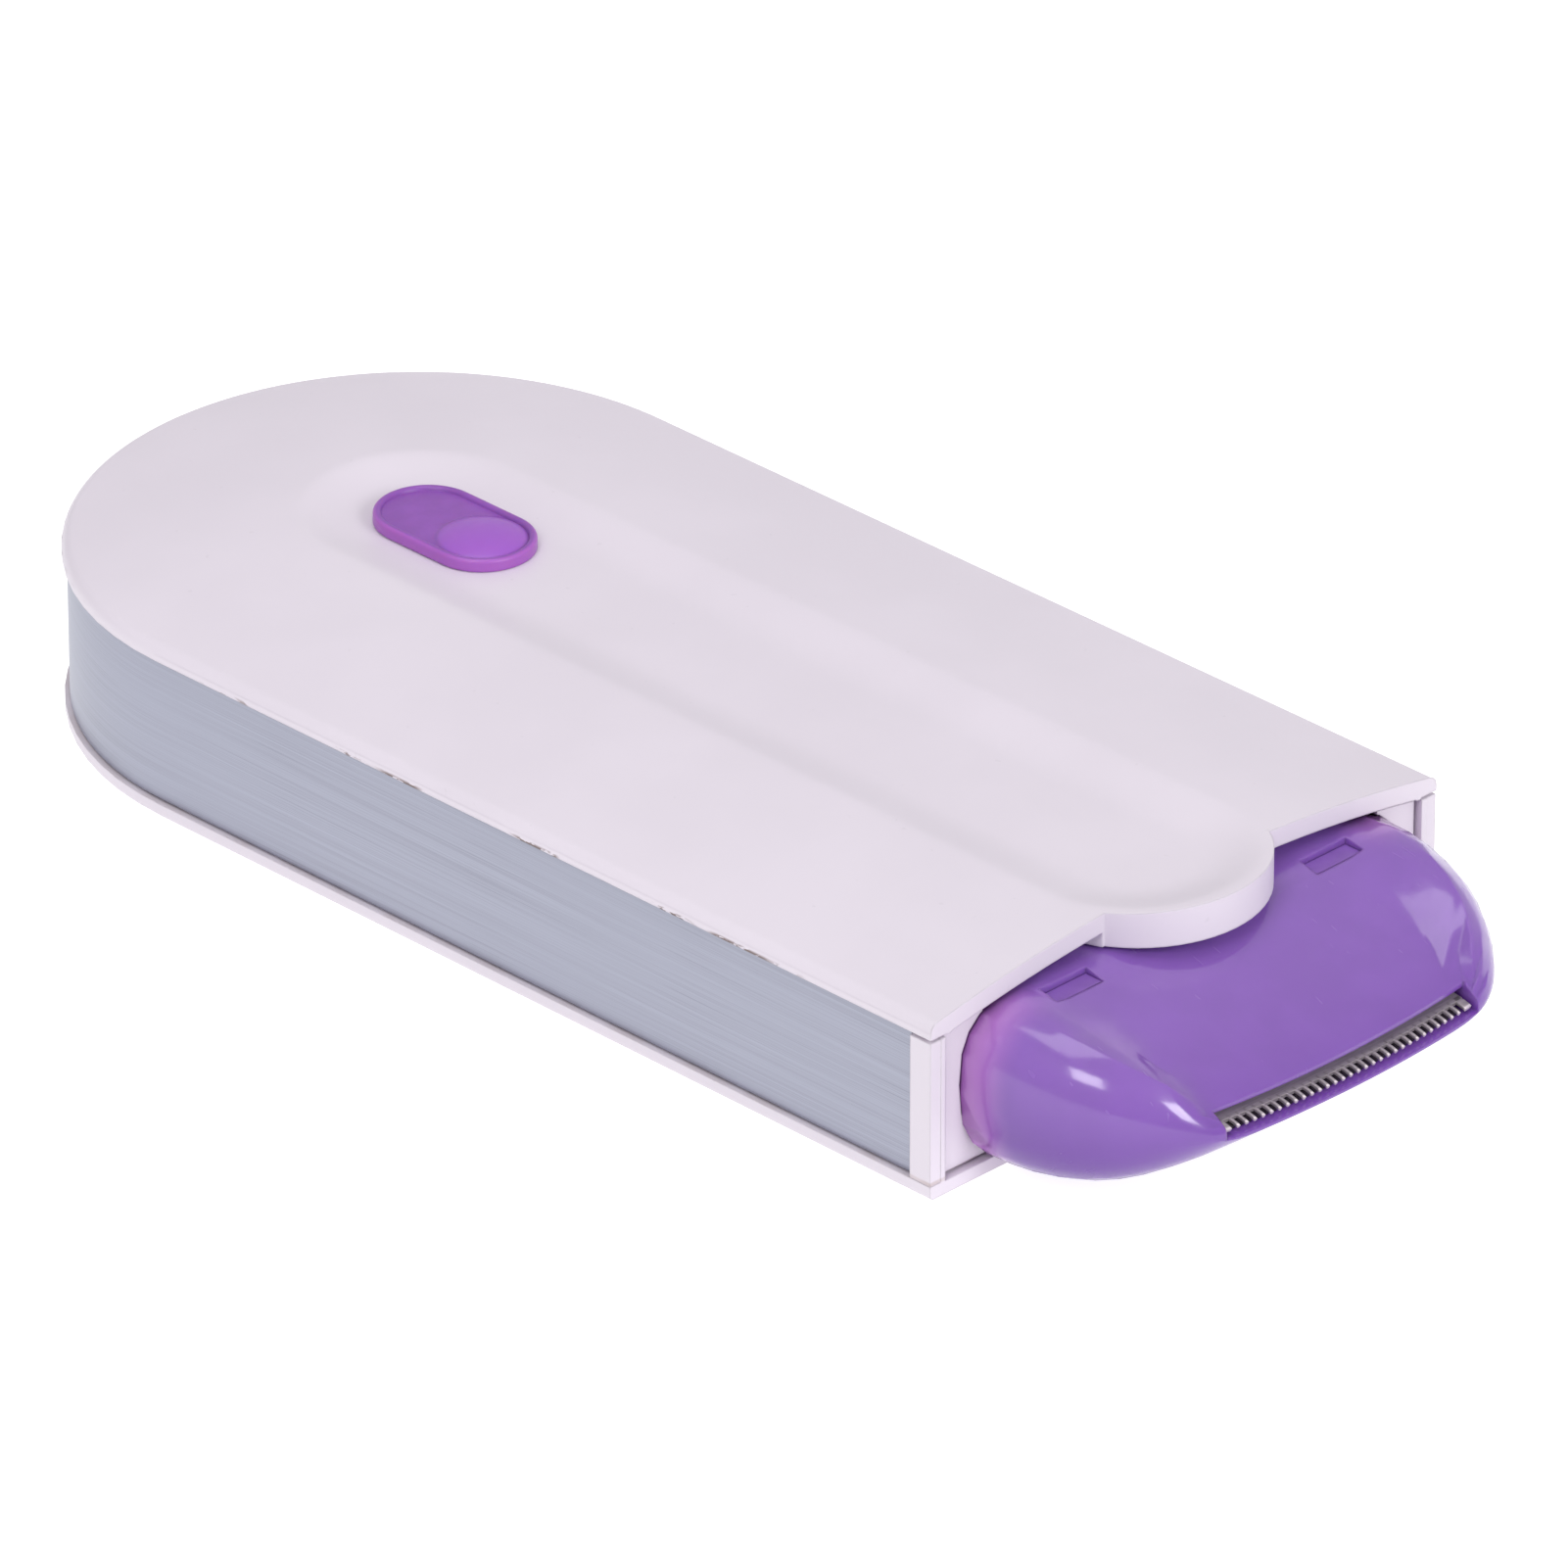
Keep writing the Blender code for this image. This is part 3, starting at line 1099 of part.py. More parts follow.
def motor_clamp():
    """A strap bent over the can, with a foot on the base at each side."""
    inner_top = AXIS_HEIGHT + MOTOR_HALF_HEIGHT + SEAT_GAP
    inner_half = MOTOR_RADIUS + SEAT_GAP
    outer_half = inner_half + CLAMP_THICKNESS
    foot_half = outer_half + CLAMP_FOOT
    right = [
        (inner_half, FLOOR_SEAT),
        (foot_half, FLOOR_SEAT),
        (foot_half, FLOOR_SEAT + CLAMP_THICKNESS),
        (outer_half, FLOOR_SEAT + CLAMP_THICKNESS),
        (outer_half, inner_top + CLAMP_THICKNESS),
    ]
    left = [(-x, z) for x, z in reversed(right)]
    section = right + left + [(-inner_half, inner_top), (inner_half, inner_top)]
    middle = MOTOR_Y + MOTOR_LENGTH / 2
    clamp = section_bar("motor_clamp", section, middle - CLAMP_LENGTH / 2, middle + CLAMP_LENGTH / 2)
    finish(clamp, WHITE_INSIDE, 0.5)
    return clamp


def rotor():
    """Shaft, cam and drive pin, all turned about the motor's axis and carried by one empty on it."""
    shaft_rear = -MOTOR_LENGTH - SEAT_GAP - MOTOR_CAP_LENGTH / 2 + RUNNING_GAP
    shaft_ends = (0, SHAFT_FRONT), (SHAFT_RADIUS, SHAFT_FRONT), (SHAFT_RADIUS, shaft_rear), (0, shaft_rear)
    shaft = turned("motor_shaft", shaft_ends)
    cam_rear = MOTOR_NOSE_LENGTH + CAM_GAP
    pin_rear = SHAFT_FRONT + 2 * SEAT_GAP
    cam_front = pin_rear + PIN_SEAT
    bore = SHAFT_RADIUS + RUNNING_GAP
    bore_front = SHAFT_FRONT + RUNNING_GAP
    cam = turned(
        "eccentric_cam",
        [
            (0, cam_front),
            (CAM_RADIUS, cam_front),
            (CAM_RADIUS, cam_rear),
            (bore, cam_rear),
            (bore, bore_front),
            (0, bore_front),
        ],
    )
    pin_hole = rod(
        "pin_hole",
        PIN_RADIUS + RUNNING_GAP,
        (0, STROKE, pin_rear - RUNNING_GAP),
        (0, STROKE, cam_front + OVERRUN),
        tool=True,
        sides=SMALL_SIDES,
    )
    cut(cam, pin_hole)
    pin_ends = ((0, STROKE, pin_rear), (0, STROKE, pin_rear + PIN_LENGTH))
    pin = rod("drive_pin", PIN_RADIUS, *pin_ends, sides=SMALL_SIDES)
    axis = axis_empty("rotor_axis", (0, MOTOR_Y, AXIS_HEIGHT), (QUARTER_TURN, 0, 0))
    for piece in (shaft, cam, pin, pin_hole):
        piece.parent = axis
    finish(shaft, STEEL, 0.2, 1.0)
    finish(cam, WHITE_INSIDE, 0.4)
    finish(pin, STEEL, 0.2, 1.0)
    return [shaft, cam, pin]


def slide_knob():
    """A dished stadium with a thumb bump in front, on a stem whose hooks run under the cover."""
    straight = KNOB_LENGTH / 2 - KNOB_HALF_WIDTH
    top = KNOB_FOOT + KNOB_HEIGHT
    steps = (
        (0, KNOB_FOOT),
        (0, top - KNOB_EDGE_ROUND),
        (KNOB_EDGE_ROUND, top),
        (KNOB_RIM - KNOB_EDGE_ROUND, top),
        (KNOB_RIM, top - KNOB_DISH),
    )
    rings = []
    for inset, height in steps:
        outline = stadium(KNOB_HALF_WIDTH - inset, KNOB_Y - straight, KNOB_Y + straight)
        rings.append([(x, y, height) for x, y in outline])
    knob = loft("slide_knob", rings)

    floor = top - KNOB_DISH
    bump_y = KNOB_Y - KNOB_LENGTH / 2 + KNOB_RIM + THUMB_BUMP_RADIUS
    domes = [(THUMB_BUMP_RADIUS, floor - KNOB_DISH)]
    for step in range(DOME_STEPS + 1):
        lift = step / DOME_STEPS * math.pi / 2
        domes.append((THUMB_BUMP_RADIUS * math.cos(lift), floor + THUMB_BUMP_HEIGHT * math.sin(lift)))
    dome_rings = []
    for radius, height in domes:
        dome_rings.append([(x, y, height) for x, y in arc((0, bump_y), radius, 0, 360, ROUND_SIDES)])
    thumb_bump = loft("thumb_bump", dome_rings, tool=True, cap_end=False)

    half = STEM_WIDTH / 2
    stem_top = KNOB_FOOT + KNOB_HEIGHT / 4
    stem_low = (-half, KNOB_Y - STEM_LENGTH / 2, STEM_FOOT)
    stem = box("knob_stem", stem_low, (half, KNOB_Y + STEM_LENGTH / 2, stem_top), tool=True)
    hook_half = half + SEAT_GAP + HOOK_REACH
    hook_low = (-hook_half, KNOB_Y - STEM_LENGTH / 2 + SEAT_GAP, HOOK_FOOT)
    hooks = box("knob_hooks", hook_low, (hook_half, KNOB_Y + STEM_LENGTH / 2 - SEAT_GAP, HOOK_TOP), tool=True)
    join(knob, thumb_bump, stem, hooks)
    pocket_half = LEVER_SIZE / 2 + SEAT_GAP / 2
    pocket_low = (-pocket_half, KNOB_Y - pocket_half, STEM_FOOT - OVERRUN)
    pocket_high = (pocket_half, KNOB_Y + pocket_half, SWITCH_TOP + LEVER_RISE + SEAT_GAP)
    cut(knob, box("lever_pocket", pocket_low, pocket_high, tool=True))
    finish(knob, BRIGHT_PURPLE, 0.35)
    return knob


def switch():
    """The switch's case with the slot in its top, and the lever that stands in the slot."""
    low = (-SWITCH_WIDTH / 2, KNOB_Y - KNOB_TRAVEL / 2 - SWITCH_LENGTH / 2, SWITCH_FOOT)
    high = (SWITCH_WIDTH / 2, KNOB_Y - KNOB_TRAVEL / 2 + SWITCH_LENGTH / 2, SWITCH_TOP)
    body = box("switch_body", low, high)
    half = LEVER_SIZE / 2
    slot_low = (-half - SEAT_GAP, KNOB_Y - KNOB_TRAVEL - half - SEAT_GAP, SWITCH_TOP - LEVER_SINK - SEAT_GAP)
    slot_high = (half + SEAT_GAP, KNOB_Y + half + SEAT_GAP, SWITCH_TOP + OVERRUN)
    cut(body, box("switch_slot", slot_low, slot_high, tool=True))
    lever_low = (-half, KNOB_Y - half, SWITCH_TOP - LEVER_SINK)
    lever = box("switch_lever", lever_low, (half, KNOB_Y + half, SWITCH_TOP + LEVER_RISE))
    finish(body, STEEL, 0.35, 0.8)
    finish(lever, BLACK, 0.5)
    return body, lever


def circuit_board():
    front, rear = BOARD_FRONT_Y, BOARD_REAR_Y
    neck = BOARD_NECK_HALF_WIDTH
    neck_rear = REAR_Y - BOARD_NECK_INSET
    outline = [
        (-BOARD_LEFT, front),
        (BOARD_RIGHT, front),
        (BOARD_RIGHT, rear),
        (neck, rear),
        (neck, neck_rear),
        (-neck, neck_rear),
        (-neck, rear),
        (-BOARD_LEFT, rear),
    ]
    board = slab("circuit_board", outline, BOARD_FOOT, BOARD_TOP)
    finish(board, GREEN, 0.45)
    return board


def charging_socket():
    """A small metal socket under the board, open to the rear, with its contact tongue."""
    half = SOCKET_WIDTH / 2
    low = (-half, SOCKET_MOUTH_Y - SOCKET_LENGTH, SOCKET_TOP - SOCKET_HEIGHT)
    socket = box("charging_socket", low, (half, SOCKET_MOUTH_Y, SOCKET_TOP))
    wall = SOCKET_WALL
    inner_low = (-half + wall, SOCKET_MOUTH_Y - SOCKET_LENGTH + 2 * wall, SOCKET_TOP - SOCKET_HEIGHT + wall)
    inner_high = (half - wall, SOCKET_MOUTH_Y + OVERRUN, SOCKET_TOP - wall)
    cut(socket, box("socket_hollow", inner_low, inner_high, tool=True))
    tongue_low = (-half / 2, SOCKET_MOUTH_Y - SOCKET_LENGTH + wall, SOCKET_MID - wall / 2)
    tongue_high = (half / 2, SOCKET_MOUTH_Y - 2 * wall, SOCKET_MID + wall / 2)
    join(socket, box("socket_tongue", tongue_low, tongue_high, tool=True))
    finish(socket, STEEL, 0.3, 1.0)
    return socket


def battery():
    """A round cell along Y with its raised front pole, and a bowed contact at each end."""
    turn = (QUARTER_TURN, 0, 0)
    edge = CELL_NIB_LENGTH / 2
    profile = [
        (0, CELL_NIB_LENGTH),
        (CELL_NIB_RADIUS, CELL_NIB_LENGTH),
        (CELL_NIB_RADIUS, 0),
        (CELL_RADIUS - edge, 0),
        (CELL_RADIUS, -edge),
        (CELL_RADIUS, -CELL_LENGTH + edge),
        (CELL_RADIUS - edge, -CELL_LENGTH),
        (0, -CELL_LENGTH),
    ]
    cell = turned("battery_cell", profile)
    cell.location = (-CELL_OFFSET, CELL_Y, CELL_HEIGHT)
    cell.rotation_euler = turn
    finish(cell, BLUE, 0.35)

    contacts = []
    front_y = CELL_Y - CELL_NIB_LENGTH - SEAT_GAP
    rear_y = CELL_Y + CELL_LENGTH + SEAT_GAP
    for name, face, away in (("front", front_y, -1), ("rear", rear_y, 1)):
        top = CELL_HEIGHT + CELL_RADIUS
        bow = face + away * CONTACT_BOW
        near = [(bow, FLOOR_SEAT), (face, CELL_HEIGHT), (bow, top)]
        far = [(y + away * CONTACT_THICKNESS, z) for y, z in reversed(near)]
        left = -CELL_OFFSET - CONTACT_HALF_WIDTH
        contact = profile_bar(f"battery_contact_{name}", near + far, left, left + 2 * CONTACT_HALF_WIDTH)
        finish(contact, STEEL, 0.3, 1.0)
        contacts.append(contact)
    return [cell] + contacts


def smooth_path(keys):
    """Points on one smooth curve through the key points."""
    keys = [Vector(key) for key in keys]
    keys = [2 * keys[0] - keys[1]] + keys + [2 * keys[-1] - keys[-2]]
    points = []
    for before, start, end, after in zip(keys, keys[1:], keys[2:], keys[3:]):
        for step in range(LEAD_STEPS):
            t = step / LEAD_STEPS
            bend = (end - before) * t + (2 * before - 5 * start + 4 * end - after) * t**2
            points.append(start + (bend + (3 * start - before - 3 * end + after) * t**3) / 2)
    return points + [keys[-2]]


def lead(name, keys, colour):
    """A round insulated wire along a smooth route."""
    wire = bpy.data.curves.new(name, "CURVE")
    wire.dimensions = "3D"
    wire.bevel_depth = LEAD_RADIUS
    wire.bevel_resolution = 2
    wire.use_fill_caps = True
    spline = wire.splines.new("POLY")
    route = smooth_path(keys)
    spline.points.add(len(route) - 1)
    for point, place in zip(spline.points, route):
        point.co = (*place, 1)
    obj = new_object(name, wire)
    material = bpy.data.materials.new(name)
    material.use_nodes = True
    shader = material.node_tree.nodes["Principled BSDF"]
    shader.inputs["Base Color"].default_value = (*colour, 1)
    shader.inputs["Roughness"].default_value = 0.5
    shader.inputs["Metallic"].default_value = 0.0
    wire.materials.append(material)
    return obj


def leads():
    """Four inner leads: one from each motor terminal and one from each battery contact to the board."""
    landing = BOARD_TOP + SEAT_GAP + LEAD_RADIUS
    floor = FLOOR_SEAT + 2 * LEAD_RADIUS
    edge_y = BOARD_FRONT_Y - LEAD_RADIUS - SEAT_GAP
    motor_end = MOTOR_END + SEAT_GAP
    rib_side = CELL_RADIUS + SEAT_GAP + CELL_RIB_WALL - CELL_OFFSET
    clear_of_ribs = rib_side + 2 * SEAT_GAP + LEAD_RADIUS
    for side, name, colour in ((-1, "wire_motor_left", BLACK), (1, "wire_motor_right", RED)):
        terminal_x = side * (TERMINAL_OFFSET + TERMINAL_WIDTH / 2)
        x = max(terminal_x, clear_of_ribs)
        half_way = (AXIS_HEIGHT + floor) / 2
        heights = [AXIS_HEIGHT, AXIS_HEIGHT, half_way]
        heights += [floor, floor, floor, floor, AXIS_HEIGHT, landing + LEAD_RADIUS]
        keys = [(x, motor_end + (edge_y - motor_end) * share, z) for share, z in zip(LEAD_SHARES, heights)]
        keys[:2] = [(terminal_x, y, z) for _, y, z in keys[:2]]
        keys.append((x, BOARD_FRONT_Y + LEAD_LANDING / 2, landing + LEAD_RADIUS / 2))
        keys.append((x, BOARD_FRONT_Y + LEAD_LANDING, landing))
        lead(name, keys, colour)

    contact_side = -CELL_OFFSET + CONTACT_HALF_WIDTH + SEAT_GAP
    lane_x = -CELL_OFFSET + CELL_RADIUS + 2 * SEAT_GAP + LEAD_RADIUS
    lane_z = CELL_HEIGHT + SEAT_GAP + LEAD_RADIUS
    plate_y = CELL_Y - CELL_NIB_LENGTH - SEAT_GAP - CONTACT_BOW
    front_keys = [
        (contact_side, plate_y, lane_z),
        ((contact_side + lane_x) / 2, plate_y, lane_z),
        (lane_x, plate_y + LEAD_TURN, lane_z),
        (lane_x, edge_y - LEAD_RISE, lane_z),
        (lane_x + LEAD_TURN / 2, edge_y - LEAD_TURN, landing),
        (lane_x + LEAD_TURN, edge_y + LEAD_RADIUS, landing + LEAD_RADIUS / 2),
        (lane_x + LEAD_TURN, BOARD_FRONT_Y + LEAD_LANDING, landing),
    ]
    lead("wire_battery_front", front_keys, RED)

    plate_y = CELL_Y + CELL_LENGTH + SEAT_GAP + CONTACT_BOW
    behind_switch = KNOB_Y - KNOB_TRAVEL / 2 + SWITCH_LENGTH / 2 + LEAD_TURN
    top = CELL_HEIGHT + CELL_RADIUS - LEAD_RADIUS
    rear_keys = [
        (contact_side, plate_y, top),
        (contact_side + LEAD_TURN / 2, plate_y, top + LEAD_RADIUS / 2),
        (-BOARD_LEFT, (plate_y + behind_switch) / 2, top + LEAD_RADIUS / 2),
        (-BOARD_LEFT + LEAD_LANDING / 2, behind_switch, landing),
        (-BOARD_LEFT + LEAD_LANDING, behind_switch, landing),
    ]
    lead("wire_battery_rear", rear_keys, BLACK)


def case_screws():
    """Four screws that share one turned mesh: a pan head below, a plain shank above."""
    shank_top = SCREW_HEAD_HEIGHT + SCREW_LENGTH
    profile = [
        (0, shank_top),
        (SCREW_RADIUS / 2, shank_top),
        (SCREW_RADIUS, shank_top - SCREW_RADIUS),
        (SCREW_RADIUS, SCREW_HEAD_HEIGHT),
        (SCREW_HEAD_RADIUS, SCREW_HEAD_HEIGHT),
        (SCREW_HEAD_RADIUS, SCREW_HEAD_HEIGHT / 3),
        (SCREW_HEAD_RADIUS - SCREW_HEAD_HEIGHT / 3, 0),
        (0, 0),
    ]
    screws = []
    for name, (x, y) in screw_places().items():
        screw = turned(f"case_screw_{name}", profile, steps=SMALL_SIDES)
        screw.location = (x, y, SCREW_RECESS)
        finish(screw, STEEL, 0.3, 1.0)
        screws.append(screw)
    return screws


def build():
    clear_scene()
    top_cover()
    base_shell()
    side_band()
    front_bezel()
    case_screws()
    motor()
    motor_clamp()
    rotor()
    circuit_board()
    charging_socket()
    battery()
    leads()
    knob = slide_knob()
    switch_body, lever = switch()
    head = [head_shell(), blade_carrier(), comb_blade(), blade_spring()]
    cutter = [cutter_blade(), blade_yoke()]
    hang_on(axis_empty("knob_axis", (0, KNOB_Y, KNOB_FOOT)), knob, lever)
    hang_on(axis_empty("head_axis", (0, FRONT_Y, AXIS_HEIGHT)), *head)
    hang_on(axis_empty("cutter_axis", (0, RIDGE_Y, RIDGE_HEIGHT)), *cutter)


build()
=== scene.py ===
"""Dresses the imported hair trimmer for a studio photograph: its shapes, finishes, lights and camera."""

import math

import bmesh
import bpy
from bpy.props import FloatProperty, FloatVectorProperty, IntProperty, PointerProperty
from mathutils import Matrix, Vector


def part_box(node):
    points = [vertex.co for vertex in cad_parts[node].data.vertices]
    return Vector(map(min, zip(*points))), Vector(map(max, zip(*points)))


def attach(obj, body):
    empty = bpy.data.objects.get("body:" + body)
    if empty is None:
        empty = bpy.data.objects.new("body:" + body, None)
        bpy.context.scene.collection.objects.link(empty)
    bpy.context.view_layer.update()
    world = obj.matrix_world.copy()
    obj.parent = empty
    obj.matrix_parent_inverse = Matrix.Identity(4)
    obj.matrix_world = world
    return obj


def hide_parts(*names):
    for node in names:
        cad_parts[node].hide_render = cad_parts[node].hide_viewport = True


bl_info = {
    "name": "Hair trimmer",
    "version": (1, 0, 0),
    "blender": (4, 5, 0),
    "location": "View3D > Sidebar > Trimmer",
    "description": "Shapes and finishes a flat hair trimmer with a toothed steel blade",
    "category": "Object",
}

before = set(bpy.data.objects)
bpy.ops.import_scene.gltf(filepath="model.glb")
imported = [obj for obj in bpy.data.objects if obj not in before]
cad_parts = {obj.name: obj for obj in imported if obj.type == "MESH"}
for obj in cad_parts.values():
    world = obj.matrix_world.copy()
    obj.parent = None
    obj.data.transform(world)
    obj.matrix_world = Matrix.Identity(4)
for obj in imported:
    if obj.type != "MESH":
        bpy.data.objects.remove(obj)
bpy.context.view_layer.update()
MM = 0.001
DEGREE = math.pi / 180
QUARTER_TURN = math.pi / 2
SHARP = 32 * DEGREE
NEARLY_FLAT = 0.2 * DEGREE
SAME_POINT = 0.0005 * MM
CORNER_POINTS = 3
SENSOR_WIDTH = 36

GRIME = (0.11, 0.055, 0.04, 1)
OLD_DUST = (0.40, 0.29, 0.25, 1)
TIN = (0.62, 0.60, 0.55, 1)
BARE_STEEL = (0.6, 0.6, 0.62, 1)

# Name, place, width and share of the key light's power
LAMPS = (
    ("overhead_softbox", (-0.15, 0.1, 1.5), 0.9, 1.0),
    ("left_softbox", (-0.9, -0.38, 0.86), 0.38, 0.6),
    ("front_softbox", (0.0, -1.5, 0.86), 0.6, 1.9),
)


def top_of(node):
    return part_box(node)[1]


def foot_of(node):
    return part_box(node)[0]


class Value:
    """A number that varies over a surface. Sums and products on it add Math nodes."""

    def __init__(self, graph, socket):
        self.graph = graph
        self.socket = socket

    def work(self, operation, *others):
        return self.graph.node("ShaderNodeMath", {"operation": operation}, self, *others)

    def __add__(self, other):
        return self.work("ADD", other)

    __radd__ = __add__

    def __sub__(self, other):
        return self.work("SUBTRACT", other)

    def __rsub__(self, other):
        return (self * -1).work("ADD", other)

    def __mul__(self, other):
        return self.work("MULTIPLY", other)

    __rmul__ = __mul__

    def __truediv__(self, other):
        return self.work("DIVIDE", other)

    def __pow__(self, other):
        return self.work("POWER", other)

    def __neg__(self):
        return self * -1

    def __abs__(self):
        return self.work("ABSOLUTE")

    def at_least(self, other):
        return self.work("MAXIMUM", other)

    def at_most(self, other):
        return self.work("MINIMUM", other)

    def root(self):
        return self.work("SQRT")

    def sine(self):
        return self.work("SINE")

    def cosine(self):
        return self.work("COSINE")

    def step(self, start, end):
        """Goes from 0 at start to 1 at end, softly."""
        settings = {"interpolation_type": "SMOOTHSTEP"}
        sockets = {"Value": self, "From Min": start, "From Max": end}
        return self.graph.node("ShaderNodeMapRange", settings, **sockets)


class Graph:
    """A node tree that is being built."""

    def __init__(self, tree):
        self.tree = tree

    def feed(self, socket, value):
        """Links a value or sets a number. None leaves the socket as it is."""
        if isinstance(value, Value):
            self.tree.links.new(value.socket, socket)
        elif value is not None:
            socket.default_value = value

    def node(self, kind, settings, *values, output=0, **named):
        """Adds a node: first its settings, then its sockets in order or by name."""
        node = self.tree.nodes.new(kind)
        for setting, value in settings.items():
            setattr(node, setting, value)
        for socket, value in zip(node.inputs, values):
            self.feed(socket, value)
        for name, value in named.items():
            self.feed(node.inputs[name.replace("_", " ")], value)
        return Value(self, node.outputs[output])

    def vector(self, x, y, z):
        return self.node("ShaderNodeCombineXYZ", {}, x, y, z)


class Recipe(Graph):
    """A Geometry Nodes tree with named sizes, which grows one piece."""

    def __init__(self, name):
        super().__init__(bpy.data.node_groups.new(name, "GeometryNodeTree"))
        for side in ("INPUT", "OUTPUT"):
            self.tree.interface.new_socket("Geometry", in_out=side, socket_type="NodeSocketGeometry")
        self.source = self.tree.nodes.new("NodeGroupInput")
        self.sizes = {}

    def size(self, name, value):
        """A named input of the tree, with what it holds on this object."""
        kind = "NodeSocketInt" if isinstance(value, int) else "NodeSocketFloat"
        made = self.tree.interface.new_socket(name, in_out="INPUT", socket_type=kind)
        made.default_value = value
        self.sizes[made.identifier] = value
        return Value(self, self.source.outputs[name])

    def settings(self, group, *names):
        """Named inputs of the tree, one for each of the user's settings that are named."""
        labels = group.bl_rna.properties
        return [self.size(labels[name].name, getattr(group, name)) for name in names]

    def anchors(self):
        """The points that the piece grows on."""
        return Value(self, self.source.outputs["Geometry"])

    def place_of(self, number):
        """One coordinate of each point."""
        place = self.node("GeometryNodeInputPosition", {})
        return self.node("ShaderNodeSeparateXYZ", {}, place, output=number)

    def together(self, *parts):
        whole = self.node("GeometryNodeJoinGeometry", {})
        for part in reversed(parts):
            self.feed(whole.socket.node.inputs[0], part)
        return whole

    def path(self, length, points, x, y, z):
        """A curve whose points follow three rules, each of the way along it in metres."""
        line = self.node("GeometryNodeCurvePrimitiveLine", {}, End=self.vector(length, 0, 0))
        line = self.node("GeometryNodeResampleCurve", {}, Curve=line, Count=points)
        way = self.node("GeometryNodeSplineParameter", {}, output=1)
        place = self.vector(x(way), y(way), z(way))
        line = self.node("GeometryNodeSetPosition", {}, Geometry=line, Position=place)
        return self.node("GeometryNodeSetCurveNormal", {"mode": "Z_UP"}, line)

    def moved(self, part, move):
        return self.node("GeometryNodeTransform", {}, Geometry=part, Translation=move)

    def bar_section(self, width, height, radius):
        """A rectangle with rounded corners."""
        flat = self.node("GeometryNodeCurvePrimitiveQuadrilateral", {}, Width=width, Height=height)
        sockets = {"Curve": flat, "Count": CORNER_POINTS, "Radius": radius}
        return self.node("GeometryNodeFilletCurve", {"mode": "POLY"}, **sockets)

    def sweep(self, path, section):
        sockets = {"Curve": path, "Profile Curve": section, "Fill Caps": True}
        return self.node("GeometryNodeCurveToMesh", {}, **sockets)

    def block(self, low, high, points=(2, 2, 2)):
        """A box between two corners, each given as three numbers or values."""
        size = self.vector(*(end - start for start, end in zip(low, high)))
        middle = self.vector(*((end + start) * 0.5 for start, end in zip(low, high)))
        across, deep, tall = points
        sockets = {"Size": size, "Vertices X": across, "Vertices Y": deep, "Vertices Z": tall}
        return self.moved(self.node("GeometryNodeMeshCube", {}, **sockets), middle)

    def row(self, part, count, pitch):
        """Copies of a part along X, centred on the middle line."""
        start = self.vector((count - 1) * pitch * -0.5, 0, 0)
        sockets = {"Count": count, "Start Location": start, "Offset": self.vector(pitch, 0, 0)}
        points = self.node("GeometryNodeMeshLine", {}, **sockets)
        return self.node("GeometryNodeInstanceOnPoints", {}, Points=points, Instance=part)

    def grow(self, name, geometry, finish, anchors=()):
        """Ends the tree in real geometry with its material, and keeps the result as a plain mesh."""
        real = self.node("GeometryNodeRealizeInstances", {}, geometry)
        dressed = self.node("GeometryNodeSetMaterial", {}, Geometry=real, Material=finish.material)
        self.tree.links.new(dressed.socket, self.tree.nodes.new("NodeGroupOutput").inputs[0])
        start = bpy.data.meshes.new(name)
        start.from_pydata(anchors, [], [])
        piece = new_piece(name, start)
        modifier = piece.modifiers.new(name, "NODES")
        modifier.node_group = self.tree
        for identifier, value in self.sizes.items():
            modifier[identifier] = value
        graph = bpy.context.evaluated_depsgraph_get()
        mesh = bpy.data.meshes.new_from_object(piece.evaluated_get(graph), depsgraph=graph)
        piece.modifiers.remove(modifier)
        piece.data = mesh
        smooth(mesh)
        return piece


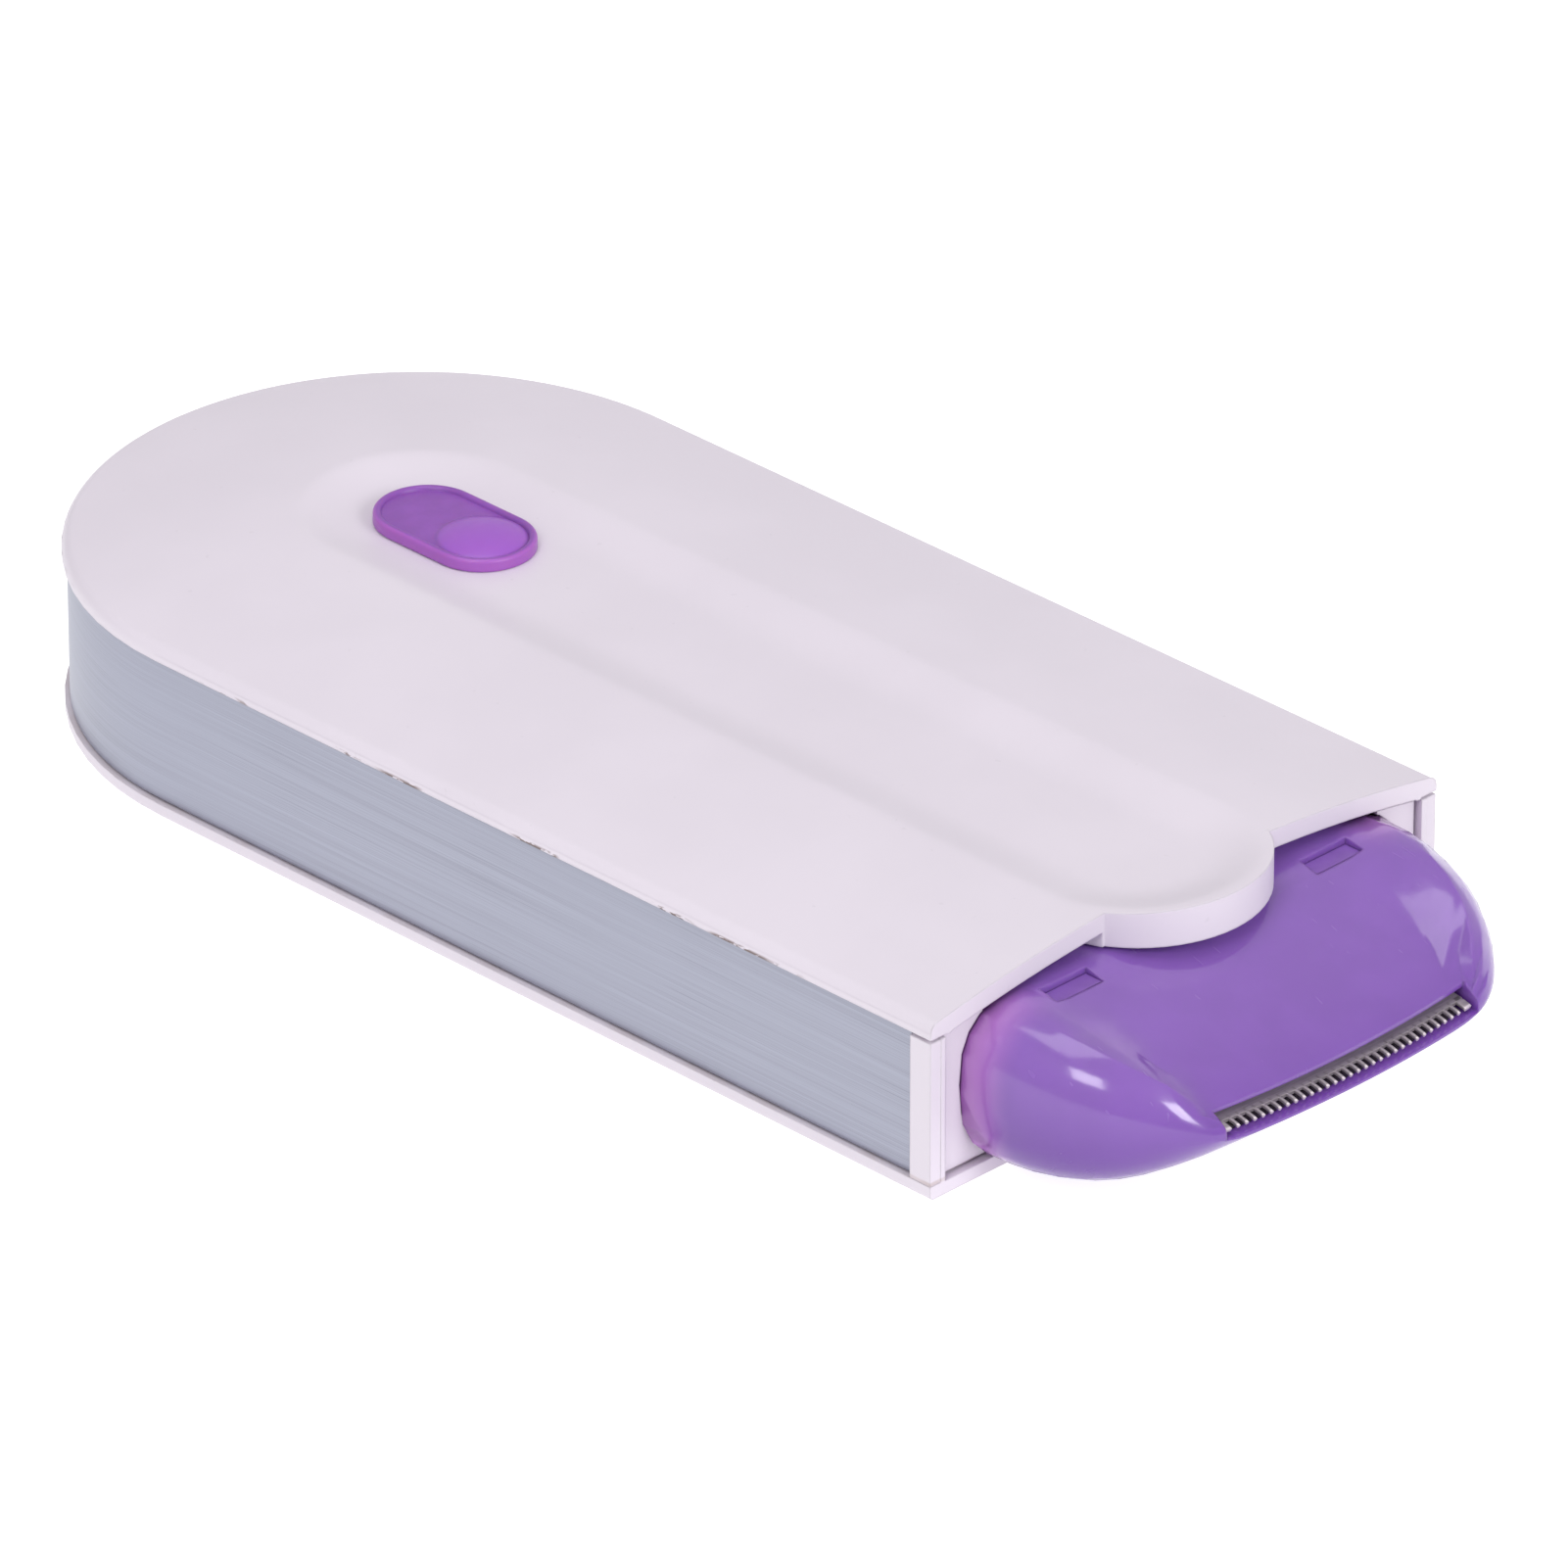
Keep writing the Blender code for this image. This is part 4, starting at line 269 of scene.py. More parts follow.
class Finish(Graph):
    """One material, and the nodes that vary it over a piece."""

    def __init__(self, name, colour, roughness, metallic=0.0, **constants):
        self.material = bpy.data.materials.new(name)
        self.material.use_nodes = True
        super().__init__(self.material.node_tree)
        self.shader = self.tree.nodes["Principled BSDF"]
        self.set("Base Color", (*colour, 1))
        self.set("Roughness", roughness)
        self.set("Metallic", metallic)
        for socket, value in constants.items():
            self.set(socket.replace("_", " "), value)

    def set(self, socket, value):
        self.feed(self.shader.inputs[socket], value)

    def place(self):
        """The piece's own coordinates in metres."""
        return self.node("ShaderNodeTexCoord", {}, output=3)

    def axis(self, number):
        """One coordinate of the surface point, in metres."""
        return self.node("ShaderNodeSeparateXYZ", {}, self.place(), output=number)

    def stretched(self, scale, turn=(0, 0, 0)):
        """The piece's own coordinates, scaled along each axis and turned."""
        return self.node("ShaderNodeMapping", {}, Vector=self.place(), Scale=scale, Rotation=turn)

    def noise(self, size, detail=2.0, where=None, roughness=0.5):
        """Soft noise whose features are about the given size in metres."""
        sockets = {"Vector": where or self.place(), "Scale": 1 / size, "Detail": detail}
        return self.node("ShaderNodeTexNoise", {}, **sockets, Roughness=roughness)

    def way_round(self, radius, arc_y):
        """How far a point of the side wall lies from the middle of the round rear end, along the wall."""
        x, ahead = self.axis(0), self.axis(1) * -1 + arc_y
        angle = (ahead * -1).at_least(0).work("ARCTAN2", abs(x))
        return x.work("SIGN") * ((QUARTER_TURN - angle) * radius + ahead.at_least(0))

    def cells(self, size):
        """How far a point lies from the middle of its cell."""
        return self.node("ShaderNodeTexVoronoi", {}, Vector=self.place(), Scale=1 / size)

    def mix(self, factor, first, second):
        """Mixes two colours. The node has five sockets of other kinds before them."""
        others = [None] * 5
        return self.node("ShaderNodeMix", {"data_type": "RGBA"}, factor, *others, first, second, output=2)

    def shaded(self, pattern, colour, darker, lighter):
        """A colour that a pattern shifts between a darker and a lighter tint."""
        return self.mix(pattern.step(0.3, 0.7), tinted(colour, darker), tinted(colour, lighter))

    def emboss(self, height, distance, strength, edge=None):
        """Sets a relief, over sharp edges that are softened to a radius if there is one."""
        softened = self.node("ShaderNodeBevel", {"samples": 6}, edge) if edge else None
        sockets = {"Height": height, "Distance": distance, "Strength": strength, "Normal": softened}
        self.set("Normal", self.node("ShaderNodeBump", {}, **sockets))


def tinted(colour, share):
    """A colour made lighter or darker by a share."""
    return (*(min(part * share, 1) for part in colour[:3]), 1)


def white_finish(looks):
    """Pinkish white moulded plastic with a fine grain, faint clouds, and grime and dust in the seams."""
    finish = Finish("white_moulding", looks.white, 0.42, Coat_Weight=0.06, Coat_Roughness=0.25, IOR=1.5)
    clouds = finish.noise(18 * MM, 3)
    warm = finish.mix(clouds.step(0.35, 0.7), tinted(looks.white, 0.985), tinted(looks.white, 1.015))
    specks = finish.noise(0.9 * MM, 1).step(0.78, 0.80)
    seam = top_of("side_band").z + 0.2 * MM
    near_seam = 1 - abs(finish.axis(2) - seam).step(0.1 * MM, 0.4 * MM)
    left = 1 - finish.axis(0).step(-30.0 * MM, -29.0 * MM)
    stretch = finish.axis(1).step(-40 * MM, -30 * MM) * (1 - finish.axis(1).step(25 * MM, 40 * MM))
    dashes = finish.noise(1 * MM, 3, finish.stretched((1, 0.8, 3))).step(0.47, 0.54)
    patches = finish.noise(9 * MM, 1).step(0.5, 0.56) * dashes
    grime = near_seam * left * stretch * patches
    speckled = finish.mix(specks * 0.25, warm, tinted(looks.white, 0.8))
    low_seam = 1 - abs(finish.axis(2) - foot_of("side_band").z).step(0.05 * MM, 0.3 * MM)
    dust = low_seam * finish.noise(4 * MM, 2).step(0.35, 0.6)
    dusty = finish.mix(dust * 0.5, speckled, OLD_DUST)
    finish.set("Base Color", finish.mix(grime * 0.9, dusty, GRIME))
    finish.set("Roughness", finish.noise(0.4 * MM, 2) * 0.12 + 0.36)
    grain = finish.noise(0.16 * MM, 2) + finish.noise(1.6 * MM, 2) * 0.5
    finish.emboss(grain, 0.006 * MM, 0.6, 0.25 * MM)
    return finish


def silver_finish(looks):
    """Silver foil brushed lengthwise, with a few deeper hairlines."""
    finish = Finish("brushed_silver", looks.silver, 0.36, 0.82, Anisotropic=0.4)
    radius = top_of("side_band").x
    way = finish.way_round(radius, top_of("side_band").y - radius)
    height = finish.axis(2)
    fine = finish.noise(1 * MM, 4, finish.vector(way * 0.02, 0, height * 14), 0.7)
    broad = finish.noise(1 * MM, 2, finish.vector(way * 0.006, 0, height * 2.2))
    hairline = finish.noise(1 * MM, 0, finish.vector(way * 0.04, 0, height * 22)).step(0.70, 0.76)
    shade = (fine * 0.82 + broad * 0.18).step(0.3, 0.72)
    brushed = finish.mix(shade, tinted(looks.silver, 0.84), tinted(looks.silver, 1.12))
    finish.set("Base Color", finish.mix(hairline * 0.5, brushed, tinted(looks.silver, 0.5)))
    finish.set("Roughness", fine * 0.22 + 0.26)
    finish.emboss(fine + hairline * -0.6, 0.004 * MM, 0.8)
    return finish


def purple_finish(looks, front):
    """Glossy translucent plastic, pinker beside the case, with painted shade that darkens it towards its
    foot, and scratches.
    """
    depth = {"Subsurface_Weight": 0.25, "Subsurface_Radius": (1.0, 0.4, 1.0), "Subsurface_Scale": 1.6 * MM}
    finish = Finish("glossy_purple", looks.purple, 0.2, Coat_Roughness=0.08, IOR=1.5, **depth)
    root = finish.axis(1).step(front - 5 * MM, front)
    flank = abs(finish.axis(0)).step(17 * MM, 25 * MM)
    body = finish.shaded(finish.noise(6 * MM, 3), looks.purple, 0.97, 1.05)
    # Painted shade: the colour darkens towards the foot, and the coat thins there too.
    deep = 1 - finish.axis(2).step(2 * MM, 14 * MM)
    body = finish.mix(deep, body, (*looks.purple_painted_shade, 1))
    finish.set("Base Color", finish.mix(root * flank * 0.75, body, (*looks.purple_rim, 1)))
    marks = finish.noise(1 * MM, 0, finish.stretched((3.5, 0.25, 1), (0, 0, 0.6))).step(0.81, 0.85)
    dull = finish.noise(4 * MM, 3).step(0.4, 0.7)
    finish.set("Roughness", dull * 0.1 + marks * 0.2 + 0.13)
    finish.set("Coat Weight", (0.5 - marks * 0.3) * (1 - deep * 0.7))
    skin = finish.noise(0.5 * MM, 2) + finish.noise(5 * MM, 1) * 2
    finish.emboss(skin - marks, 0.008 * MM, 0.5, 0.35 * MM)
    return finish


def tab_finish(looks):
    """The matt purple of the inner frame, slightly darker than the head."""
    finish = Finish("matt_purple", looks.purple, 0.36)
    finish.set("Base Color", finish.shaded(finish.noise(3 * MM, 3), looks.purple, 0.86, 0.98))
    finish.set("Roughness", finish.noise(0.6 * MM, 2) * 0.15 + 0.34)
    finish.emboss(finish.noise(0.25 * MM, 2), 0.006 * MM, 0.5, 0.15 * MM)
    return finish


def knob_finish(looks, sizes):
    """Satin purple, with painted light: a side painted brighter and pinker and a bump painted lighter,
    round a deeper dish.
    """
    finish = Finish("satin_purple", looks.knob, 0.34, Subsurface_Weight=0.15, Subsurface_Scale=1.0 * MM)
    low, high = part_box("slide_knob")
    reach = high.x - sizes.knob_rim
    x, y = finish.axis(0), finish.axis(1) - (low.y + high.x)
    # Painted highlight: the thumb bump is made lighter.
    bump = 1 - ((x * x + y * y).root() / reach).step(0.9, 1.0)
    rear = finish.axis(1) - (high.y - high.x)
    middle = y.at_most(0) + rear.at_least(0)
    # Painted light: the outer side is made brighter and pinker.
    side = (x * x + middle * middle).root().step(high.x - 0.4 * MM, high.x - 0.1 * MM)
    body = finish.shaded(finish.noise(2.5 * MM, 3), looks.knob, 0.93, 1.05)
    bump_lit = finish.mix(bump * 0.8, body, tinted(looks.knob, 1.38))
    finish.set("Base Color", finish.mix(side * 0.8, bump_lit, (*looks.knob_lit_side, 1)))
    finish.set("Roughness", finish.noise(0.5 * MM, 2) * 0.14 + 0.27)
    finish.emboss(finish.noise(0.2 * MM, 2), 0.006 * MM, 0.5, 0.2 * MM)
    return finish


def steel_finish(name, colour, brush, rough, metal=1.0, painted_glint=None):
    """Ground or plated steel, its marks drawn out along one axis. A rule may say where a painted highlight
    lightens it.
    """
    finish = Finish(name, colour, rough, metal)
    marks = finish.noise(1 * MM, 3, finish.stretched(brush), 0.65)
    stain = finish.noise(3 * MM, 3).step(0.35, 0.75)
    shade = finish.shaded(marks, colour, 0.8, 1.15)
    stain_and_glint = finish.mix(stain * 0.25, shade, tinted(colour, 0.7))
    # Painted highlight: much lighter steel where the rule says.
    if painted_glint:
        stain_and_glint = finish.mix(painted_glint(finish) * 0.85, stain_and_glint, tinted(colour, 2.3))
    finish.set("Base Color", stain_and_glint)
    finish.set("Roughness", marks * 0.2 + rough - 0.08)
    finish.emboss(marks, 0.003 * MM, 0.7, 0.08 * MM)
    return finish


def plastic_finish(name, colour, rough):
    """Plain moulded plastic of the inner pieces, with a spark texture and flow marks."""
    finish = Finish(name, colour, rough)
    finish.set("Base Color", finish.shaded(finish.noise(5 * MM, 3), colour, 0.92, 1.05))
    finish.set("Roughness", finish.noise(0.5 * MM, 2) * 0.15 + rough - 0.07)
    finish.emboss(finish.noise(0.2 * MM, 2), 0.006 * MM, 0.6, 0.15 * MM)
    return finish


def board_finish(looks):
    """Green solder mask over copper tracks, with tinned pads."""
    finish = Finish("solder_mask", looks.board, 0.3, Coat_Weight=0.4, Coat_Roughness=0.15)
    sockets = {"Vector": finish.place(), "Scale": 1 / (6 * MM), "Mortar Size": 0.06}
    track = finish.node("ShaderNodeTexBrick", {"offset": 0.5}, output=1, **sockets)
    pads = 1 - finish.cells(2.6 * MM).step(0.12, 0.16)
    mask = finish.mix(track * 0.6, (*looks.board, 1), tinted(looks.board, 1.8))
    finish.set("Base Color", finish.mix(pads, mask, TIN))
    finish.set("Metallic", pads * 0.9)
    finish.set("Roughness", pads * 0.1 + finish.noise(1 * MM, 2) * 0.1 + 0.25)
    finish.emboss(track + pads, 0.02 * MM, 0.7)
    return finish


def cell_finish(looks):
    """Blue shrink sleeve, drawn tight, with bare steel at both ends."""
    finish = Finish("shrink_sleeve", looks.cell, 0.32, Coat_Weight=0.3)
    start, end = foot_of("battery_cell").y + 1.9 * MM, top_of("battery_cell").y - 0.9 * MM
    edge = 0.1 * MM
    along = finish.axis(1)
    ends = 1 - along.step(start, start + edge) * (1 - along.step(end, end + edge))
    ripples = finish.noise(1 * MM, 2, finish.stretched((0.3, 1.6, 0.3)))
    sleeve = finish.shaded(ripples, looks.cell, 0.85, 1.1)
    finish.set("Base Color", finish.mix(ends, sleeve, BARE_STEEL))
    finish.set("Metallic", ends)
    finish.set("Roughness", ripples * 0.12 + 0.26)
    finish.emboss(ripples, 0.03 * MM, 0.6)
    return finish


def new_mesh(name, shape):
    mesh = bpy.data.meshes.new(name)
    shape.to_mesh(mesh)
    shape.free()
    return mesh


def new_piece(name, mesh):
    piece = bpy.data.objects.new(name, mesh)
    bpy.context.scene.collection.objects.link(piece)
    return piece


def dress(piece, finish):
    """Gives a piece one finish in place of whatever it has."""
    piece.data.materials.clear()
    piece.data.materials.append(finish.material)


def smooth(mesh):
    """Shades a mesh as one surface, save over sharp edges."""
    brought = mesh.attributes.get("custom_normal")
    if brought:
        mesh.attributes.remove(brought)
    shape = bmesh.new()
    shape.from_mesh(mesh)
    shape.normal_update()
    for face in shape.faces:
        face.smooth = True
    for edge in shape.edges:
        edge.smooth = len(edge.link_faces) == 2 and edge.calc_face_angle(0) < SHARP
    shape.to_mesh(mesh)
    shape.free()


def merged(node):
    """The shape of a CAD node, its loose triangles joined at their points."""
    shape = bmesh.new()
    shape.from_mesh(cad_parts[node].data)
    bmesh.ops.remove_doubles(shape, verts=shape.verts, dist=SAME_POINT)
    return shape


def smooth_piece(name, shape):
    """A piece whose curved sides shade as one surface."""
    mesh = new_mesh(name, shape)
    smooth(mesh)
    return new_piece(name, mesh)


def smoothed_copy(node, name):
    shape = merged(node)
    bmesh.ops.dissolve_limit(shape, angle_limit=NEARLY_FLAT, verts=shape.verts, edges=shape.edges)
    return smooth_piece(name, shape)


def settle(piece, body, slot, *nodes):
    """Hangs a finished piece on its body, in place of the CAD nodes that it stands for."""
    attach(piece, body)
    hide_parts(*nodes)


def colour_setting(name, description, colour):
    return FloatVectorProperty(name=name, description=description, subtype="COLOR", size=3, default=colour)


def length_setting(name, description, millimetres):
    return FloatProperty(name=name, description=description, unit="LENGTH", default=millimetres * MM)


def angle_setting(name, description, degrees):
    return FloatProperty(name=name, description=description, unit="ROTATION", default=degrees * DEGREE)


class TrimmerLooks(bpy.types.PropertyGroup):
    """Colours of the trimmer's materials, in linear light."""

    white: colour_setting("White", "Case plastic", (0.70, 0.645, 0.72))
    silver: colour_setting("Silver", "Side band", (0.36, 0.37, 0.45))
    purple: colour_setting("Purple", "Head shell", (0.22, 0.10, 0.42))
    # Painted shade: the darker colour that the head is painted towards its foot.
    purple_painted_shade: colour_setting("Deep purple", "Head towards its foot", (0.12, 0.03, 0.29))
    purple_rim: colour_setting("Purple rim", "Head beside the case", (0.50, 0.20, 0.58))
    knob: colour_setting("Knob", "Slide knob", (0.25, 0.075, 0.41))
    # Painted light: the brighter, pinker colour of the knob's rim and side.
    knob_lit_side: colour_setting("Knob side", "Rim and side", (0.40, 0.115, 0.52))
    steel: colour_setting("Steel", "Blades", (0.36, 0.32, 0.34))
    # Painted shade: the cutter's steel is made nearly black so that the gaps between the comb's teeth read
    # as shade.
    cutter_painted_shade: colour_setting("Cutter", "Hardened steel", (0.10, 0.085, 0.10))
    board: colour_setting("Board", "Solder mask", (0.02, 0.14, 0.05))
    cell: colour_setting("Cell", "Battery sleeve", (0.04, 0.12, 0.42))


class TrimmerSizes(bpy.types.PropertyGroup):
    """Sizes of what is made finer than in the solids."""

    crown_edge: length_setting("Edge height", "Cover's top at its edge", 16.6)
    crown_rise: length_setting("Crown", "Rise of the cover's middle", 3.0)
    cover_round: length_setting("Cover edge", "Rounding of the cover's edge", 0.9)
    tongue_radius: length_setting("Tongue", "Radius of the front tongue", 11.6)
    tongue_back: length_setting("Tongue centre", "Behind the front edge", 6.0)
    groove_half: length_setting("Groove", "Half its width", 10.2)
    groove_depth: length_setting("Groove depth", "Below the crown", 1.32)
    groove_slope: length_setting("Groove slope", "Width of its slope", 5.2)
    groove_inset: length_setting("Groove rear", "Its rear centre to the rear end", 31.9)
    band_thickness: length_setting("Band", "Thickness of the side band", 0.6)
    band_edge: length_setting("Band edge", "Rounding of the band's edges", 0.08)
    port_margin: length_setting("Port", "Gap round the socket in the band", 0.6)
    tooth_gaps: IntProperty(name="Comb gaps", description="Gaps between the comb's teeth", default=31)
    cutter_gaps: IntProperty(name="Cutter gaps", description="Gaps between the cutter's teeth", default=29)
    pitch: length_setting("Pitch", "From tooth to tooth", 0.92)
    tooth_width: length_setting("Tooth", "Width of a tooth", 0.3)
    tooth_bend: angle_setting("Bend", "How far the comb's teeth bend down", 16)
    bend_radius: length_setting("Bend radius", "Of the comb's teeth", 3.0)
    blade_tilt: angle_setting("Tilt", "Slope of both blades", 8)
    ridge_setback: length_setting("Ridge back", "From the nose to the ridge", 1.4)
    ridge_height: length_setting("Ridge height", "Of the comb's ridge", 8.17)
    slit_start: length_setting("Slit start", "Behind the comb's ridge", 0.3)
    comb_length: length_setting("Comb", "From its ridge to its rear", 5.8)
    comb_thickness: length_setting("Comb sheet", "Thickness", 0.35)
    cutter_drop: length_setting("Cutter", "Below the comb's top", 0.43)
    cutter_thickness: length_setting("Cutter sheet", "Thickness", 0.3)
    bow: length_setting("Bow", "How far the blades' ends fall back", 0.84)
    screw_head: length_setting("Screw head", "Height", 1.2)
    screw_shank: length_setting("Screw shank", "Radius", 0.8)
    knob_rim: length_setting("Knob rim", "Width", 0.75)
    knob_height: length_setting("Knob", "Height of its rim", 1.1)
    knob_dish: length_setting("Knob dish", "Depth", 0.35)
    bump_height: length_setting("Thumb bump", "Height above the dish", 0.85)


class TrimmerStage(bpy.types.PropertyGroup):
    """Camera and lights of the photograph."""

    azimuth: angle_setting("Azimuth", "Camera's turn about Z", -44.98)
    elevation: angle_setting("Elevation", "Camera above the floor", 28.73)
    distance: length_setting("Distance", "Camera to the trimmer", 1474.97)
    pan_right: length_setting("Pan right", "Camera's move to its right", 10.11)
    pan_up: length_setting("Pan up", "Camera's move up its frame", 3.19)
    pan_back: length_setting("Pan back", "Camera's move along Y", 10.107)
    lens: FloatProperty(name="Lens", description="Focal length in millimetres", default=392.49)
    floor: length_setting("Floor", "Width of the pale floor", 6000.0)
    glow: FloatProperty(name="Glow", description="Light that the floor gives off", default=0.88)
    key_power: FloatProperty(name="Key light", description="Power in watts", default=5.6)
    fill: FloatProperty(name="Fill light", description="Strength of the light all round", default=0.58)


class TRIMMER_OT_stage(bpy.types.Operator):
    """Sets up the pale floor, the soft lights and the camera"""

    bl_idname = "trimmer.stage"
    bl_label = "Stage"

    def execute(self, context):
        stage = context.scene.trimmer_stage
        self.floor(stage)
        self.lights(context, stage)
        self.camera(context, stage)
        context.scene.view_settings.view_transform = "Standard"
        return {"FINISHED"}

    def floor(self, stage):
        """A sheet that gives off some light, as a light table does, so that no shadow shows on it."""
        shape = bmesh.new()
        bmesh.ops.create_grid(shape, x_segments=8, y_segments=8, size=stage.floor / 2)
        floor = new_piece("studio_floor", new_mesh("studio_floor", shape))
        floor.location.z = -0.02 * MM
        paper = Finish("studio_paper", (0.4, 0.4, 0.4), 0.9)
        fibre = paper.noise(1.2 * MM, 3)
        paper.set("Base Color", paper.mix(fibre, (0.39, 0.39, 0.39, 1), (0.41, 0.41, 0.41, 1)))
        paper.emboss(fibre, 0.01 * MM, 0.3)
        paper.set("Emission Color", (1, 1, 1, 1))
        paper.set("Emission Strength", stage.glow)
        dress(floor, paper)

    def lights(self, context, stage):
        """An even light all round, and square lamps that face the trimmer."""
        world = bpy.data.worlds.new("soft_room")
        world.use_nodes = True
        background = world.node_tree.nodes["Background"]
        background.inputs["Color"].default_value = (1.0, 0.99, 1.0, 1)
        background.inputs["Strength"].default_value = stage.fill
        context.scene.world = world
        for name, place, width, share in LAMPS:
            light = bpy.data.lights.new(name, "AREA")
            light.shape = "SQUARE"
            light.size = width
            light.energy = stage.key_power * share
            lamp = bpy.data.objects.new(name, light)
            lamp.location = place
            lamp.rotation_euler = Vector(place).to_track_quat("Z", "Y").to_euler()
            context.scene.collection.objects.link(lamp)

    def camera(self, context, stage):
        """Looks along the photograph's line of sight, moved aside until the framing is the same."""
        turn, rise = stage.azimuth, stage.elevation
        back = Vector((math.sin(turn) * math.cos(rise), -math.cos(turn) * math.cos(rise), math.sin(rise)))
        right = Vector((math.cos(turn), math.sin(turn), 0))
        up = back.cross(right)
        place = back * stage.distance + right * stage.pan_right + up * stage.pan_up
        place.y += stage.pan_back
        lens = bpy.data.cameras.new("photo_camera")
        lens.sensor_width = SENSOR_WIDTH
        lens.lens = stage.lens
        lens.clip_end = 20
        camera = bpy.data.objects.new("photo_camera", lens)
        columns = Matrix((right, up, back)).transposed().to_4x4()
        camera.matrix_world = Matrix.Translation(place) @ columns
        context.scene.collection.objects.link(camera)
        context.scene.camera = camera


class TRIMMER_OT_case(bpy.types.Operator):
    """Finishes the white cover, base and bezel"""

    bl_idname = "trimmer.case"
    bl_label = "Case"

    def execute(self, context):
        looks = context.scene.trimmer_looks
        white = white_finish(looks)
        for node in ("base_shell", "front_bezel"):
            piece = smoothed_copy(node, f"white_{node}")
            dress(piece, white)
            settle(piece, "case", "white_case", node)
        cover = self.cover(context.scene.trimmer_sizes, white)
        settle(cover, "case", "white_case", "top_cover")
        return {"FINISHED"}

    def cover(self, sizes, white):
        """The crowned skin with its thumb groove, over the cover's own walls, ribs and screw posts."""
        skin = self.skin(sizes, white)
        shape = merged("top_cover")
        shape.normal_update()
        least_rise = 0.02
        upper = [face for face in shape.faces if face.normal.z > least_rise]
        bmesh.ops.delete(shape, geom=upper, context="FACES")
        shape.from_mesh(skin.data)
        bpy.data.objects.remove(skin)
        piece = smooth_piece("white_top_cover", shape)
        dress(piece, white)
        return piece

    def skin(self, sizes, white):
        """A net of points over the cover: each column runs from the front edge to the round rear end."""
        high = top_of("top_cover")
        columns, rows = 181, 201
        rear_crowding, slope_blend, slope_curve = 1.35, 0.12, 1.25
        recipe = Recipe("cover_skin")
        radius = recipe.size("Case radius", high.x)
        front = recipe.size("Front", foot_of("base_shell").y)
        centre = recipe.size("Arc centre", high.y - high.x)
        edge, rise, turn = recipe.settings(sizes, "crown_edge", "crown_rise", "cover_round")
        tongue, tongue_back = recipe.settings(sizes, "tongue_radius", "tongue_back")
        half, depth, slope = recipe.settings(sizes, "groove_half", "groove_depth", "groove_slope")
        groove_rear = recipe.size("Groove rear", high.y - sizes.groove_inset)
        net = recipe.node("GeometryNodeMeshGrid", {}, 1, 1, columns, rows)
        angle = recipe.place_of(0) * math.pi
        share = 1 - (0.5 - recipe.place_of(1)) ** rear_crowding
        x = angle.sine() * radius
        rear_edge = centre + angle.cosine() * radius
        arc = front + tongue_back - (tongue * tongue - x * x).at_least(0).root()
        front_edge = arc.at_most(front)
        y = front_edge + (rear_edge - front_edge) * share
        past = (y - centre).at_least(0)
        offset = (x * x + past * past).root()
        crown = edge + rise * (1 - (offset / radius) ** 2)
        bend = (1 - (radius - offset) / turn).at_least(0).at_most(1)
        fall = turn * (1 - (1 - bend * bend).root())
        beyond = (y - groove_rear).at_least(front + tongue_back - y).at_least(0)
        from_middle = (x * x + beyond * beyond).root()
        soft = slope * slope_blend
        sunk = ((half + soft - from_middle) / (slope + soft)).at_least(0).at_most(1)
        z = crown - fall - depth * (sunk * QUARTER_TURN).sine() ** slope_curve
        place = recipe.vector(x, y, z)
        net = recipe.node("GeometryNodeSetPosition", {}, Geometry=net, Position=place)
        slot_low, slot_high = self.stem_slot()
        inside = 1
        for number in (0, 1):
            there = recipe.place_of(number)
            inside = (there - slot_low[number]).work("GREATER_THAN", 0) * inside
            inside = (slot_high[number] - there).work("GREATER_THAN", 0) * inside
        net = recipe.node("GeometryNodeDeleteGeometry", {"domain": "FACE"}, Geometry=net, Selection=inside)
        return recipe.grow("cover_skin", net, white)

    def stem_slot(self):
        """Where the knob's stem passes through the cover, all along its travel."""
        low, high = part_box("slide_knob")
        half, ahead, behind = 2.3 * MM, 7.2 * MM, 3.2 * MM
        middle = (low.y + high.y) / 2
        return (-half, middle - ahead), (half, middle + behind)


class TRIMMER_OT_band(bpy.types.Operator):
    """Sweeps the silver band round the case and opens it for the charging socket"""

    bl_idname = "trimmer.band"
    bl_label = "Side band"

    def execute(self, context):
        sizes = context.scene.trimmer_sizes
        low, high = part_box("side_band")
        recipe = Recipe("band_sweep")
        outer = recipe.size("Outer radius", high.x)
        thickness, edge = recipe.settings(sizes, "band_thickness", "band_edge")
        tall = recipe.size("Height", high.z - low.z)
        straight = recipe.size("Straight side", high.y - high.x - low.y)
        front = recipe.size("Front", low.y)
        middle = recipe.size("Middle height", (low.z + high.z) / 2)
        radius = outer - thickness * 0.5

        def turned(way):
            return ((way - straight) / radius).at_least(0).at_most(math.pi)

        def across(way):
            return turned(way).cosine() * radius * -1

        def along(way):
            back = (way - straight - radius * math.pi).at_least(0)
            return way.at_most(straight) + turned(way).sine() * radius - back + front

        length = straight * 2 + radius * math.pi
        stops = 181
        path = recipe.path(length, stops, across, along, lambda way: middle)
        band = recipe.sweep(path, recipe.bar_section(thickness, tall, edge))
        socket_low, socket_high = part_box("charging_socket")
        margin = Vector((sizes.port_margin, 0, sizes.port_margin))
        port_low, port_high = socket_low - margin, socket_high + margin
        port_high.y = high.y + sizes.port_margin
        port = recipe.block(port_low, port_high)
        band = recipe.node("GeometryNodeMeshBoolean", {"operation": "DIFFERENCE"}, band, port)
        piece = recipe.grow("silver_side_band", band, silver_finish(context.scene.trimmer_looks))
        settle(piece, "case", "silver_band", "side_band")
        return {"FINISHED"}


